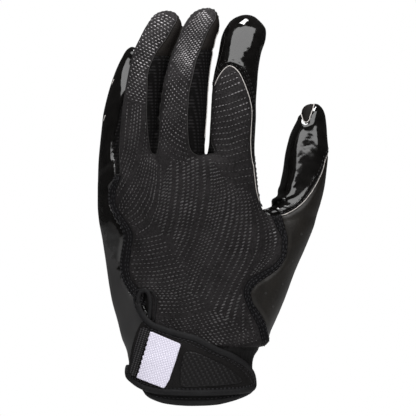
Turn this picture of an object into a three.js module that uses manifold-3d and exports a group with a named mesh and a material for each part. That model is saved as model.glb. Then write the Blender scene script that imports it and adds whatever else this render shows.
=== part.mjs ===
import * as THREE from 'three';
import Module from 'manifold-3d';

// American-football receiver glove for the left hand, kept in the form of a filled hand.
// Millimetres. +Z runs from the wrist opening to the fingertips, the back of the hand faces -Y,
// the thumb is at +X. The origin is the centre of the wrist opening.

// Driving sizes
const LENGTH = 218;          // hem to the middle fingertip
const SPREAD = 128;          // outer edge of the hand to the thumb
const DEPTH = 44;            // front to back at the wrist
const WALL = 1.6;            // all fabric panels
const GAP = 0.3;             // clearance between neighbouring pieces
const STRAP_THICK = 1.6;
const PATCH_THICK = 1.1;
const PAD_THICK = 0.9;
const HOOK_THICK = 1.3;
const BINDING = 1.5;         // radius of the padded bindings
const HEM_ROLL = 1.6;        // radius of the rolled hem
const ROUND = 2.35;          // squareness of the sections, 2 is an ellipse
const SEAM_STEP = 14;        // longest straight piece of a finger seam
const WEB_LEVEL = 0.6353;    // height of the webs between the fingers, share of the length
const WEB_REACH = 6;         // reach of the seam cuts below that height
const REACH = 2;             // reach of the seam cuts past the skin
const FLATNESS = 0.04;       // bumps below this are flattened
const BAR_STEP = 8;          // longest straight piece of a binding
const STRAP_END = -0.11;     // depth where the strap ends at the outer edge of the hand, share of the depth

// Sections from the hem up: height, outer edge, thumb edge, middle depth, half depth, lean, arch
const PALM_ROWS = [
  [-0.0101, -0.2578, 0.2535, 0, 0.4659, 0, 0],
  [0.0505, -0.2664, 0.2535, 0, 0.4773, 0, 0.0114],
  [0.1085, -0.2729, 0.2514, 0, 0.4659, 0, 0.0341],
  [0.1388, -0.2836, 0.275, 0, 0.4545, -0.0114, 0.0568],
  [0.169, -0.3051, 0.318, 0, 0.4432, -0.0227, 0.0795],
  [0.2144, -0.3244, 0.3438, 0.0114, 0.4318, -0.0455, 0.1023],
  [0.27, -0.3502, 0.3695, 0.0114, 0.4205, -0.0795, 0.1364],
  [0.3406, -0.3717, 0.3867, 0.0227, 0.4091, -0.1023, 0.1705],
  [0.4163, -0.3889, 0.3695, 0, 0.3977, -0.1136, 0.1818],
  [0.4718, -0.4061, 0.3223, -0.0227, 0.375, -0.1364, 0.1932],
  [0.5071, -0.4104, 0.29, -0.0455, 0.3523, -0.15, 0.2045],
  [0.5525, -0.4095, 0.2771, -0.0682, 0.3182, -0.1591, 0.2045],
  [0.5828, -0.4018, 0.2707, -0.075, 0.2955, -0.1591, 0.2045],
  [0.6055, -0.3652, 0.2621, -0.0795, 0.2727, -0.1364, 0.1705],
  [0.6206, -0.3223, 0.2449, -0.0795, 0.2386, -0.1136, 0.1364],
  [0.6282, -0.2879, 0.2191, -0.0795, 0.1818, -0.0909, 0.1136],
];

// Fingers from the tip down: height, left, right, middle depth, half depth
const RING_ROWS = [
  [0.995, -0.1182, -0.1031, 0.2773, 0.0182],
  [0.9915, -0.1439, -0.0795, 0.2727, 0.0909],
  [0.9839, -0.1654, -0.0662, 0.2636, 0.1409],
  [0.9713, -0.1826, -0.0541, 0.25, 0.1773],
  [0.9511, -0.2063, -0.049, 0.2227, 0.2023],
  [0.9259, -0.2277, -0.0632, 0.1864, 0.2114],
  [0.8956, -0.2527, -0.0885, 0.15, 0.2159],
  [0.8654, -0.2673, -0.1057, 0.1182, 0.2182],
  [0.83, -0.2802, -0.122, 0.0864, 0.2205],
  [0.7695, -0.2982, -0.1401, 0.05, 0.2227],
  [0.6989, -0.3111, -0.153, 0.0205, 0.2318],
  [0.6383, -0.3223, -0.1624, 0.0091, 0.2455],
  [0.5778, -0.333, -0.159, 0.0136, 0.2636],
  [0.5021, -0.318, -0.1504, 0.0273, 0.2727],
];

const MIDDLE_ROWS = [
  [1.0026, 0.0537, 0.0709, 0.2182, 0.0182],
  [0.9991, 0.0279, 0.0881, 0.2136, 0.0909],
  [0.9915, 0.0043, 0.0997, 0.2045, 0.1364],
  [0.9789, -0.0155, 0.11, 0.1909, 0.1818],
  [0.9562, -0.0387, 0.1126, 0.1591, 0.2136],
  [0.9259, -0.0576, 0.0988, 0.1136, 0.2273],
  [0.8906, -0.0851, 0.0834, 0.0727, 0.2364],
  [0.8553, -0.1031, 0.0722, 0.0341, 0.2432],
  [0.8099, -0.122, 0.0653, -0.0091, 0.25],
  [0.7493, -0.1384, 0.0636, -0.0455, 0.2614],
  [0.6888, -0.1495, 0.0602, -0.0727, 0.2727],
  [0.6282, -0.165, 0.0533, -0.0864, 0.2818],
  [0.5778, -0.1719, 0.0559, -0.0864, 0.2886],
  [0.5021, -0.1633, 0.0645, -0.0682, 0.2841],
];

const INDEX_ROWS = [
  [0.985, 0.2148, 0.2363, 0.25, 0.0182],
  [0.9814, 0.1891, 0.2621, 0.2455, 0.0909],
  [0.9739, 0.1676, 0.2776, 0.2364, 0.1455],
  [0.9612, 0.1504, 0.2982, 0.2182, 0.1864],
  [0.9436, 0.1332, 0.3137, 0.1932, 0.2091],
  [0.9209, 0.1195, 0.3094, 0.1614, 0.2227],
  [0.8906, 0.1109, 0.2905, 0.1227, 0.2318],
  [0.8553, 0.0988, 0.2806, 0.0864, 0.2364],
  [0.8099, 0.0834, 0.275, 0.05, 0.2455],
  [0.7493, 0.073, 0.2698, 0.0136, 0.2568],
  [0.6888, 0.0688, 0.2655, -0.0136, 0.2682],
  [0.6282, 0.0602, 0.2655, -0.0273, 0.2795],
  [0.5778, 0.058, 0.2707, -0.0295, 0.2886],
  [0.5021, 0.0773, 0.2857, -0.0227, 0.2841],
];

const LITTLE_ROWS = [
  [0.9042, -0.2707, -0.2535, 0.5682, 0.0182],
  [0.9007, -0.2819, -0.2398, 0.5659, 0.0727],
  [0.8931, -0.2956, -0.2243, 0.5591, 0.1182],
  [0.878, -0.312, -0.2105, 0.55, 0.1591],
  [0.8553, -0.3283, -0.2037, 0.5364, 0.1795],
  [0.82, -0.3489, -0.2114, 0.5136, 0.1909],
  [0.7745, -0.3713, -0.2303, 0.4955, 0.2],
  [0.7241, -0.3893, -0.2466, 0.4727, 0.2045],
  [0.6635, -0.3996, -0.2578, 0.4409, 0.2091],
  [0.608, -0.4056, -0.2638, 0.3909, 0.2205],
  [0.5576, -0.4082, -0.2664, 0.3068, 0.2409],
  [0.5021, -0.4073, -0.2535, 0.2273, 0.25],
];

const THUMB_ROWS = [
  [0.7604, 0.507, 0.5264, 0.4409, 0.0182],
  [0.7569, 0.4898, 0.5414, 0.4364, 0.0727],
  [0.7493, 0.477, 0.5577, 0.4295, 0.1136],
  [0.7342, 0.4658, 0.5698, 0.4182, 0.1545],
  [0.7089, 0.4426, 0.5758, 0.4045, 0.1864],
  [0.6787, 0.4168, 0.5792, 0.3864, 0.2136],
  [0.6433, 0.4039, 0.5835, 0.3682, 0.2341],
  [0.5979, 0.3936, 0.5758, 0.3455, 0.2545],
  [0.5525, 0.3755, 0.5655, 0.3182, 0.2727],
  [0.5122, 0.3463, 0.5483, 0.2909, 0.2955],
  [0.4894, 0.3137, 0.5354, 0.2727, 0.3136],
  [0.4768, 0.2621, 0.5285, 0.2636, 0.3227],
  [0.4567, 0.2148, 0.5199, 0.2455, 0.3364],
  [0.4264, 0.1676, 0.501, 0.2182, 0.3545],
  [0.3911, 0.1332, 0.477, 0.1909, 0.3682],
  [0.328, 0.0988, 0.4314, 0.1455, 0.3818],
  [0.2649, 0.0688, 0.3893, 0.1, 0.3864],
  [0.2018, 0.0516, 0.3438, 0.0545, 0.3864],
  [0.1514, 0.0344, 0.3008, 0.0227, 0.3864],
];

// Finger seams from the tip down: height, share of the half width from the core, face
const LITTLE_FRONT_SEAM = [
  [0.9108, 0.9, -1],
  [0.8956, 0.85, -1],
  [0.878, 0.6, -1],
  [0.8553, 0.42, -1],
  [0.82, 0.25, -1],
  [0.7695, 0.06, -1],
  [0.7392, -0.036, -1],
  [0.7064, -0.077, -1],
  [0.6736, -0.164, -1],
  [0.6181, -0.094, -1],
  [0.5727, -0.041, -1],
];
const LITTLE_REAR_SEAM = [
  [0.9108, 0.9, -1],
  [0.8956, 0.93, -1],
  [0.878, 1, 1],
  [0.8553, 0.96, 1],
  [0.7695, 0.9, 1],
  [0.6635, 0.8, 1],
  [0.608, 0.5, 1],
  [0.5727, -0.041, 1],
];
const RING_LEFT_SEAM = [
  [1.0041, -0.93, -1],
  [0.989, -0.95, -1],
  [0.9713, -1, -1],
  [0.7064, -1, -1],
  [0.6433, -0.95, -1],
  [0.6055, -0.85, -1],
  [0.5727, -0.739, -1],
];
const RING_LEFT_REAR_SEAM = [
  [1.0041, -0.93, -1],
  [0.989, -0.95, -1],
  [0.9713, -1, 1],
  [0.9461, -0.95, 1],
  [0.8956, -0.86, 1],
  [0.7569, -0.7, 1],
  [0.6736, -0.1, 1],
  [0.6181, -0.05, 1],
  [0.5727, -0.05, 1],
];
const RING_RIGHT_SEAM = [
  [1.0041, 0.93, -1],
  [0.989, 0.92, -1],
  [0.9713, 0.786, -1],
  [0.9511, 0.497, -1],
  [0.9209, 0.409, -1],
  [0.8856, 0.207, -1],
  [0.8427, 0.086, -1],
  [0.7947, 0.231, -1],
  [0.7064, 0.45, -1],
  [0.6635, 0.572, -1],
  [0.6282, 0.5, -1],
  [0.6131, 0.5, -1],
];
const RING_RIGHT_REAR_SEAM = [
  [1.0041, 0.93, -1],
  [0.989, 0.96, -1],
  [0.9713, 1, 1],
  [0.9511, 0.97, 1],
  [0.9209, 0.94, 1],
  [0.8427, 0.92, 1],
  [0.7064, 0.9, 1],
  [0.6635, 0.8, 1],
  [0.6282, 0.5, 1],
  [0.6131, 0.5, 1],
];
const MIDDLE_LEFT_SEAM = [
  [1.0117, -0.93, -1],
  [0.9966, -0.95, -1],
  [0.9789, -1, -1],
  [0.719, -1, -1],
  [0.6635, -0.92, -1],
  [0.6282, -0.68, -1],
  [0.6131, -0.68, -1],
];
const MIDDLE_LEFT_REAR_SEAM = [
  [1.0117, -0.93, -1],
  [0.9966, -0.95, -1],
  [0.9789, -1, 1],
  [0.9461, -0.95, 1],
  [0.8956, -0.88, 1],
  [0.7064, -0.86, 1],
  [0.6635, -0.84, 1],
  [0.6282, -0.68, 1],
  [0.6131, -0.68, 1],
];
const MIDDLE_RIGHT_SEAM = [
  [1.0117, 0.97, -1],
  [0.9966, 0.94, -1],
  [0.9814, 0.876, -1],
  [0.9461, 0.476, -1],
  [0.9133, 0.416, -1],
  [0.8931, 0.382, -1],
  [0.8603, 0.292, -1],
  [0.8275, 0.274, -1],
  [0.7872, 0.196, -1],
  [0.7392, 0.211, -1],
  [0.6585, 0.309, -1],
  [0.6383, 0.443, -1],
  [0.6282, 0.56, -1],
  [0.6131, 0.56, -1],
];
const MIDDLE_RIGHT_REAR_SEAM = [
  [1.0117, 0.97, -1],
  [0.9966, 0.97, -1],
  [0.9814, 1, 1],
  [0.9461, 0.985, 1],
  [0.9133, 0.98, 1],
  [0.7872, 0.98, 1],
  [0.6736, 0.93, 1],
  [0.6333, 0.56, 1],
  [0.6131, 0.56, 1],
];
const INDEX_LEFT_SEAM = [
  [0.9966, -0.9, -1],
  [0.9789, -0.95, -1],
  [0.9612, -1, -1],
  [0.719, -1, -1],
  [0.6635, -0.93, -1],
  [0.6333, -0.7, -1],
  [0.6131, -0.7, -1],
];
const INDEX_LEFT_REAR_SEAM = [
  [0.9966, -0.9, -1],
  [0.9789, -0.95, -1],
  [0.9612, -1, 1],
  [0.931, -0.95, 1],
  [0.8704, -0.9, 1],
  [0.7064, -0.88, 1],
  [0.6635, -0.85, 1],
  [0.6333, -0.7, 1],
  [0.6131, -0.7, 1],
];
const CAP_LEFT_SEAM = [
  [0.8628, -0.289, -1],
  [0.8578, -0.375, -1],
  [0.8502, -0.53, -1],
  [0.8401, -0.693, -1],
  [0.825, -0.817, -1],
  [0.8099, -0.975, -1],
  [0.7897, -0.985, 1],
];
const CAP_RIGHT_SEAM = [
  [0.8628, -0.526, -1],
  [0.8578, -0.375, -1],
  [0.8502, -0.126, -1],
  [0.8401, 0.124, -1],
  [0.8116, 0.441, -1],
  [0.771, 0.739, -1],
  [0.7392, 0.859, -1],
  [0.6989, 0.849, -1],
  [0.6585, 0.833, -1],
  [0.6257, 0.881, -1],
  [0.5979, 0.971, -1],
  [0.5727, 1, -1],
  [0.5021, 1, -1],
];
const EDGE_RIGHT_SEAM = [
  [0.5878, 1, -1],
  [0.5525, 1, -1],
  [0.5071, 1, -1],
  [0.4516, 1, -1],
];
const THUMB_SIDE_SEAM = [
  [0.6484, 1, -1],
  [0.5979, 1, -1],
  [0.5122, 1, -1],
  [0.3911, 1, -1],
  [0.2649, 1, -1],
  [0.2018, 1, -1],
  [0.1413, 1, -1],
];

// Lines and outlines of the view onto the back of the hand: across, up
const BAND_OUTER_EDGE = [
  [-0.3395, 0.5815], [-0.3416, 0.5727], [-0.3652, 0.5424], [-0.367, 0.5197], [-0.3455, 0.4819],
  [-0.3094, 0.443], [-0.3008, 0.4213], [-0.3094, 0.3911], [-0.3171, 0.3557], [-0.3094, 0.3239],
  [-0.2806, 0.2901], [-0.2449, 0.2649], [-0.2127, 0.2523],
];
const BAND_OUTER_LINE = [
  [-0.3085, 0.5815], [-0.3137, 0.5727], [-0.3334, 0.5424], [-0.336, 0.5147], [-0.3137, 0.4819],
  [-0.2763, 0.4516], [-0.26, 0.4264], [-0.2681, 0.3911], [-0.2763, 0.3482], [-0.2681, 0.3192],
  [-0.2406, 0.2952], [-0.2088, 0.2725],
];
const SLIT_TAIL = [
  [-0.1805, 0.2296], [-0.1736, 0.1892], [-0.1676, 0.1337],
];
const BAND_INNER_LINE = [
  [0.3352, 0.4829], [0.3438, 0.4693], [0.3566, 0.4516], [0.3824, 0.4163], [0.3798, 0.381],
  [0.3463, 0.3532], [0.2905, 0.333], [0.2389, 0.3154], [0.2174, 0.2851], [0.2346, 0.2498],
  [0.2664, 0.2144], [0.2879, 0.1842], [0.2905, 0.1337],
];
const BAND_INNER_EDGE = [
  [0.3764, 0.4829], [0.3932, 0.4516], [0.4082, 0.4163], [0.4026, 0.3784], [0.3695, 0.3467],
  [0.3171, 0.3234], [0.2707, 0.3028], [0.2488, 0.2811], [0.2608, 0.2558], [0.2905, 0.2308],
  [0.3154, 0.2044], [0.3223, 0.1842], [0.3197, 0.1337],
];
const THUMB_SEAM = [
  [0.3008, 0.5021], [0.3111, 0.4834], [0.3438, 0.4778], [0.3824, 0.4786], [0.4323, 0.4915],
  [0.4718, 0.5089], [0.5062, 0.5323], [0.5371, 0.5626], [0.5629, 0.5929], [0.5758, 0.6232],
  [0.6016, 0.6534],
];
const THUMB_PATCH_EDGE = [
  [0.4469, 0.7594], [0.4662, 0.7367], [0.4727, 0.7216], [0.4864, 0.7125], [0.4967, 0.7153],
  [0.5049, 0.7317], [0.5156, 0.7493], [0.5285, 0.7745],
];
const SLIT = [
  [-0.2221, 0.2599], [-0.2191, 0.275], [-0.2075, 0.2841], [-0.1934, 0.2775], [-0.1848, 0.2599],
  [-0.1693, 0.222], [-0.183, 0.217], [-0.2011, 0.2321],
];
const HAND_HEM = [
  [-0.4855, 0.0833], [-0.2793, 0.0833], [-0.2363, 0.0933], [-0.1934, 0.1236], [-0.1504, 0.1428],
  [-0.0988, 0.1468], [0.4598, 0.1468],
];
const HEM = [
  [-0.348, 0.0782], [-0.2793, 0.0656], [-0.2406, 0.0555], [-0.2148, 0.0429], [-0.1891, 0.0217],
  [-0.1547, 0.0116], [-0.1203, 0.0058], [-0.0645, 0.0015], [-0.0129, 0], [0.0473, 0.0005],
  [0.0988, 0.0025], [0.1504, 0.0086], [0.202, 0.0177], [0.2363, 0.0267], [0.2707, 0.0404],
  [0.348, 0.0631],
];
const STRAP = [
  [-0.2148, 0.2107], [-0.202, 0.2094], [-0.156, 0.1917], [-0.0645, 0.1741], [0.0107, 0.163],
  [0.0928, 0.1362], [0.1616, 0.1196], [0.202, 0.1034], [0.2363, 0.0807], [0.2535, 0.0606],
  [0.2428, 0.0479], [0.202, 0.0404], [0.1418, 0.0353], [0.0086, 0.0333], [-0.0988, 0.0353],
  [-0.1848, 0.0419], [-0.2363, 0.0555], [-0.2707, 0.0732], [-0.2943, 0.0883], [-0.2857, 0.1236],
  [-0.2686, 0.1564], [-0.2385, 0.1842],
];
const PATCH = [
  [-0.1783, 0.1791], [-0.0576, 0.1514], [-0.0791, 0.1085], [-0.1057, 0.0646], [-0.1762, 0.0681],
  [-0.2277, 0.0757], [-0.2191, 0.1034], [-0.2063, 0.1337], [-0.1934, 0.1615],
];
const HOOK = [
  [-0.232, 0.1817], [-0.202, 0.1751], [-0.2166, 0.1514], [-0.232, 0.1211], [-0.2406, 0.0959],
  [-0.2449, 0.0807], [-0.2879, 0.0883], [-0.2793, 0.1236], [-0.2621, 0.1564],
];
const PAD = [
  [-0.0301, 0.1337], [0.0129, 0.1337], [0.0902, 0.1125], [0.1418, 0.0984], [0.1848, 0.0782],
  [0.202, 0.0606], [0.1332, 0.053], [0.0301, 0.0494], [-0.0473, 0.0505], [-0.0516, 0.0833],
];
const BINDING_LINE = [
  [-0.2819, 0.0833], [-0.2621, 0.0656], [-0.2234, 0.0494], [-0.1762, 0.0399], [-0.0988, 0.0348],
  [0.0086, 0.0328], [0.1418, 0.0343], [0.2063, 0.0394], [0.2449, 0.0489], [0.2552, 0.0616],
  [0.2389, 0.0807], [0.2037, 0.1044], [0.1624, 0.1211], [0.0937, 0.1378], [0.012, 0.1645],
  [-0.0645, 0.1756], [-0.1547, 0.1933], [-0.1934, 0.2064],
];
const SLIT_LINE = [
  [-0.214, 0.222], [-0.2346, 0.2422], [-0.2466, 0.2599], [-0.2466, 0.2775], [-0.232, 0.2927],
  [-0.2075, 0.2992], [-0.183, 0.2927], [-0.1676, 0.275], [-0.1624, 0.2523], [-0.1616, 0.2296],
  [-0.1573, 0.2119],
];

const wasm = await Module();
wasm.setup();

const lerp = (a, b, t) => a + (b - a) * t;

// closed solid from points and faces
function solid(positions, triangles) {
  const mesh = new wasm.Mesh({
    numProp: 3,
    vertProperties: new Float32Array(positions.flat()),
    triVerts: new Uint32Array(triangles.flat()),
  });
  mesh.merge();
  return new wasm.Manifold(mesh);
}

// rows of shares to rows of millimetres
const scaled = (rows) => rows.map(([up, left, right, ...deep]) => (
  [up * LENGTH, left * SPREAD, right * SPREAD, ...deep.map((d) => d * DEPTH)]));

const front = (line) => line.map(([across, up]) => [across * SPREAD, up * LENGTH]);

const palmRows = scaled(PALM_ROWS);
const ringRows = scaled(RING_ROWS);
const middleRows = scaled(MIDDLE_ROWS);
const indexRows = scaled(INDEX_ROWS);
const littleRows = scaled(LITTLE_ROWS);
const thumbRows = scaled(THUMB_ROWS);

// one row of a table at any height, straight between its neighbours
function rowAt(rows, z) {
  const list = rows[0][0] < rows[rows.length - 1][0] ? rows : [...rows].reverse();
  if (z <= list[0][0]) return [z, ...list[0].slice(1)];
  for (let i = 1; i < list.length; i += 1) {
    if (z <= list[i][0]) {
      const t = (z - list[i - 1][0]) / (list[i][0] - list[i - 1][0]);
      return list[i].map((v, k) => lerp(list[i - 1][k], v, t));
    }
  }
  return [z, ...list[list.length - 1].slice(1)];
}

// a point of a section: side runs from -1 at the outer edge of the hand to 1, face is -1 at the back
function sectionPoint(row, cosine, sine, grow) {
  const [z, left, right, mid, half, lean = 0, arch = 0] = row;
  const a = Math.max((right - left) / 2 + grow, 0.15);
  const b = Math.max(half + grow, 0.15);
  const power = 2 / ROUND;
  const u = Math.sign(cosine) * Math.abs(cosine) ** power;
  const v = Math.sign(sine) * Math.abs(sine) ** power;
  return [(left + right) / 2 + a * u, mid + b * v + lean * u + arch * u * u, z];
}

// closed skin through all rows of a table
function loft(table, segments, grow, drop = 0) {
  const rows = table[0][0] < table[table.length - 1][0] ? table : [...table].reverse();
  const base = rows[0][0];
  const squeeze = 1 - drop / (rows[rows.length - 1][0] - base);
  const points = [];
  const faces = [];
  rows.forEach((row) => {
    const level = [base + (row[0] - base) * squeeze, ...row.slice(1)];
    for (let i = 0; i < segments; i += 1) {
      const angle = (i / segments) * Math.PI * 2;
      points.push(sectionPoint(level, Math.cos(angle), Math.sin(angle), grow));
    }
  });
  for (let j = 0; j < rows.length - 1; j += 1) {
    for (let i = 0; i < segments; i += 1) {
      const a = j * segments + i;
      const b = j * segments + ((i + 1) % segments);
      faces.push([a, b, b + segments], [a, b + segments, a + segments]);
    }
  }
  const low = points.length;
  const centre = (ring) => {
    const sum = ring.reduce((s, p) => s.map((v, k) => v + p[k]), [0, 0, 0]);
    return sum.map((v) => v / ring.length);
  };
  points.push(centre(points.slice(0, segments)));
  points.push(centre(points.slice(low - segments, low)));
  for (let i = 0; i < segments; i += 1) {
    const next = (i + 1) % segments;
    faces.push([low, next, i]);
    faces.push([low + 1, low - segments + i, low - segments + next]);
  }
  return solid(points, faces);
}

// straight prism through the whole depth from an outline seen from the front
function prism(outline, from = -2 * DEPTH, to = 2 * DEPTH) {
  const shape = new THREE.Shape(outline.map(([x, z]) => new THREE.Vector2(x, z)));
  const geometry = new THREE.ExtrudeGeometry(shape, { depth: to - from, bevelEnabled: false });
  geometry.rotateX(Math.PI / 2);
  geometry.translate(0, to, 0);
  return fromGeometry(geometry);
}

function fromGeometry(geometry) {
  const source = geometry.index ? geometry.toNonIndexed() : geometry;
  const place = source.getAttribute('position');
  const points = [];
  const faces = [];
  for (let i = 0; i < place.count; i += 1) points.push([place.getX(i), place.getY(i), place.getZ(i)]);
  for (let i = 0; i < place.count; i += 3) faces.push([i, i + 1, i + 2]);
  return oriented(points, faces);
}

// closed strip of even width round an open line seen from the front
function ribbonOutline(line, width) {
  const sides = [[], []];
  line.forEach((p, i) => {
    const before = line[Math.max(i - 1, 0)];
    const after = line[Math.min(i + 1, line.length - 1)];
    const dx = after[0] - before[0];
    const dz = after[1] - before[1];
    const len = Math.hypot(dx, dz);
    const nx = (-dz / len) * (width / 2);
    const nz = (dx / len) * (width / 2);
    sides[0].push([p[0] + nx, p[1] + nz]);
    sides[1].push([p[0] - nx, p[1] - nz]);
  });
  return [...sides[0], ...sides[1].reverse()];
}

// depth of the middle of the hand under a point of the front view
function middleDepth(x, z) {
  const [, left, right, mid, , lean, arch] = rowAt(palmRows, z);
  const u = THREE.MathUtils.clamp((x - (left + right) / 2) / ((right - left) / 2), -1, 1);
  return mid + lean * u + arch * u * u;
}

// seam cut through the back wall of the hand only
function frontCut(line, depthUnder) {
  const outline = ribbonOutline(line, GAP);
  const count = outline.length;
  const points = [];
  const faces = [];
  outline.forEach(([x, z]) => points.push([x, -2 * DEPTH, z]));
  outline.forEach(([x, z]) => points.push([x, depthUnder(x, z), z]));
  const half = count / 2;
  for (let i = 0; i < half - 1; i += 1) {
    const a = i;
    const b = i + 1;
    const c = count - 2 - i;
    const d = count - 1 - i;
    faces.push([a, b, c], [a, c, d]);
    faces.push([a + count, c + count, b + count], [a + count, d + count, c + count]);
  }
  for (let i = 0; i < count; i += 1) {
    const next = (i + 1) % count;
    faces.push([i, next + count, next], [i, i + count, next + count]);
  }
  return oriented(points, faces);
}

function oriented(points, faces) {
  let volume = 0;
  faces.forEach(([a, b, c]) => {
    const [p, q, r] = [points[a], points[b], points[c]];
    volume += p[0] * (q[1] * r[2] - q[2] * r[1]) - p[1] * (q[0] * r[2] - q[2] * r[0])
      + p[2] * (q[0] * r[1] - q[1] * r[0]);
  });
  return solid(points, volume > 0 ? faces : faces.map(([a, b, c]) => [a, c, b]));
}

// more rows between those of a seam, no farther apart than a step
function denser(rows) {
  const list = [rows[0]];
  for (let i = 1; i < rows.length; i += 1) {
    const steps = Math.ceil((Math.abs(rows[i][0] - rows[i - 1][0]) * LENGTH) / SEAM_STEP);
    for (let k = 1; k <= steps; k += 1) list.push(rows[i].map((v, c) => lerp(rows[i - 1][c], v, k / steps)));
  }
  return list;
}

// seam cut along a finger: from its core out through the wall at a side share and a face
function sideCut(rows, seamRows, reach) {
  const points = [];
  const faces = [];
  const seam = denser(seamRows);
  seam.forEach(([up, side, face]) => {
    const z = up * LENGTH;
    const row = rowAt(rows, z);
    const core = [(row[1] + row[2]) / 2, row[3]];
    const a = (row[2] - row[1]) / 2;
    const v = Math.max(1 - Math.abs(side) ** ROUND, 0) ** (1 / ROUND);
    const out = [a * side, row[4] * v * face + (row[5] ?? 0) * side + (row[6] ?? 0) * side * side];
    const len = Math.hypot(out[0], out[1]);
    const [dx, dy] = [out[0] / len, out[1] / len];
    const far = len + WALL + (up < WEB_LEVEL ? WEB_REACH : reach);
    const [nx, ny] = [(-dy * GAP) / 2, (dx * GAP) / 2];
    core[0] -= dx * WALL;
    core[1] -= dy * WALL;
    points.push(
      [core[0] + nx, core[1] + ny, z],
      [core[0] - nx, core[1] - ny, z],
      [core[0] + dx * far - nx, core[1] + dy * far - ny, z],
      [core[0] + dx * far + nx, core[1] + dy * far + ny, z],
    );
  });
  for (let j = 0; j < seam.length - 1; j += 1) {
    const a = j * 4;
    faces.push([a, a + 1, a + 5], [a, a + 5, a + 4], [a + 2, a + 3, a + 7], [a + 2, a + 7, a + 6]);
    faces.push([a + 1, a + 2, a + 6], [a + 1, a + 6, a + 5], [a + 3, a, a + 7], [a, a + 4, a + 7]);
  }
  const last = points.length - 4;
  faces.push([0, 2, 1], [0, 3, 2], [last, last + 1, last + 2], [last, last + 2, last + 3]);
  return oriented(points, faces);
}

// level cut between two places across the hand
function levelCut(up, from, to, back = -2 * DEPTH, ahead = 2 * DEPTH) {
  const geometry = new THREE.BoxGeometry(to - from, ahead - back, GAP);
  geometry.translate((from + to) / 2, (back + ahead) / 2, up);
  return fromGeometry(geometry);
}

const union = (list) => list.reduce((sum, item) => sum.add(item));

// round bar along a line of points
function bar(points, radius, closed, sides = 6) {
  const curve = new THREE.CatmullRomCurve3(points.map((p) => new THREE.Vector3(...p)), closed, 'centripetal');
  const steps = Math.max(8, Math.round(curve.getLength() / BAR_STEP));
  if (closed) return fromGeometry(new THREE.TubeGeometry(curve, steps, radius, sides, true));
  const circle = Array.from({ length: sides }, (_, i) => {
    const angle = ((i + 0.5) / sides) * Math.PI * 2;
    return new THREE.Vector2(Math.cos(angle) * radius, Math.sin(angle) * radius);
  });
  return fromGeometry(new THREE.ExtrudeGeometry(
    new THREE.Shape(circle),
    { steps, extrudePath: curve, bevelEnabled: false },
  ));
}

// Where each shell panel is found: piece, table, across, up, face
const PANELS = [
  ['palm', palmRows, -0.0129, 0.3911, 1],
  ['hand_back', palmRows, -0.0129, 0.4163, -1],
  ['seam_band_outer', palmRows, -0.2943, 0.3608, -1],
  ['seam_band_inner', palmRows, 0.3051, 0.3267, -1],
  ['thumb_panel', thumbRows, 0.4168, 0.3608, -1],
  ['thumb', thumbRows, 0.4598, 0.6181, -1],
  ['thumb_patch', thumbRows, 0.4855, 0.7342, -1],
  ['fourchette_little_ring', littleRows, -0.3094, 0.6433, -1],
  ['fourchette_ring_middle', ringRows, -0.1719, 0.7443, -1],
  ['fourchette_middle_index', middleRows, 0.0301, 0.7443, -1],
  ['tip_side_ring', ringRows, -0.0988, 0.9158, -1],
  ['tip_side_middle', middleRows, 0.0773, 0.9335, -1],
  ['cuff', palmRows, -0.0129, 0.0757, 1],
];

// Hollow glove: outer skins joined, less plainer skins set in by the wall
const SIDES = 12;
const INNER_SIDES = 8;
const PALM_SIDES = 20;
const INNER_PALM_SIDES = 14;
const fingers = [ringRows, middleRows, indexRows, littleRows, thumbRows];
const lower = (row, by) => [row[0] - by, ...row.slice(1)];
const every = (rows, step) => rows.filter((row, i) => i % step === 0 || i === rows.length - 1);
const outer = union([
  loft(palmRows, PALM_SIDES, 0),
  ...fingers.map((rows) => loft(rows, SIDES, 0)),
]);
const innerPalm = every(palmRows, 2).map((row, i) => (i === 0 ? lower(row, DEPTH / 2) : row));
const hollow = union([
  loft(innerPalm, INNER_PALM_SIDES, -WALL, WALL),
  ...fingers.map((rows) => loft(every(rows, 3), INNER_SIDES, -WALL, WALL)),
]);
const shell = outer.subtract(hollow);

// level of the hem under a place across
const hemLine = front(HEM).map(([x, z]) => [x, z + HEM_ROLL]);
const hemHeight = (x) => rowAt(hemLine, x)[1];
const underHem = prism([
  ...hemLine,
  [hemLine[hemLine.length - 1][0], -DEPTH],
  [hemLine[0][0], -DEPTH],
]);

const HEM_POINTS = 24;

// centre line of the rolled hem, on the middle of the wall
const roundHem = Array.from({ length: HEM_POINTS }, (_, i) => {
  const angle = (i / HEM_POINTS) * Math.PI * 2;
  const [x] = sectionPoint(rowAt(palmRows, HEM_ROLL), Math.cos(angle), Math.sin(angle), -WALL / 2);
  const z = hemHeight(x);
  const [, y] = sectionPoint(rowAt(palmRows, z), Math.cos(angle), Math.sin(angle), -WALL / 2);
  return [x, y, z];
});
const hem = bar(roundHem, HEM_ROLL, true);
const hemSeat = bar(roundHem, HEM_ROLL + GAP, true);

// place of a seam across, in the section at a height
function seamPlace(rows, seam, index) {
  const [up, side] = seam[index];
  const row = rowAt(rows, up * LENGTH);
  return (row[1] + row[2]) / 2 + ((row[2] - row[1]) / 2) * side;
}
const lastUp = (seam) => seam[seam.length - 1][0] * LENGTH;

// level cut that closes a mesh strip at the web between two fingers, at the back and at the palm
function webCut([rowsA, frontA, rearA], [rowsB, frontB, rearB]) {
  const level = Math.max(lastUp(frontA), lastUp(frontB)) + GAP * 3;
  const middle = (rowAt(rowsA, level)[3] + rowAt(rowsB, level)[3]) / 2;
  const span = (a, b) => [
    seamPlace(rowsA, a, a.length - 1) - 2 * WALL,
    seamPlace(rowsB, b, b.length - 1) + 2 * WALL,
  ];
  return levelCut(level, ...span(frontA, frontB), -2 * DEPTH, middle)
    .add(levelCut(level, ...span(rearA, rearB), middle, 2 * DEPTH));
}

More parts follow.
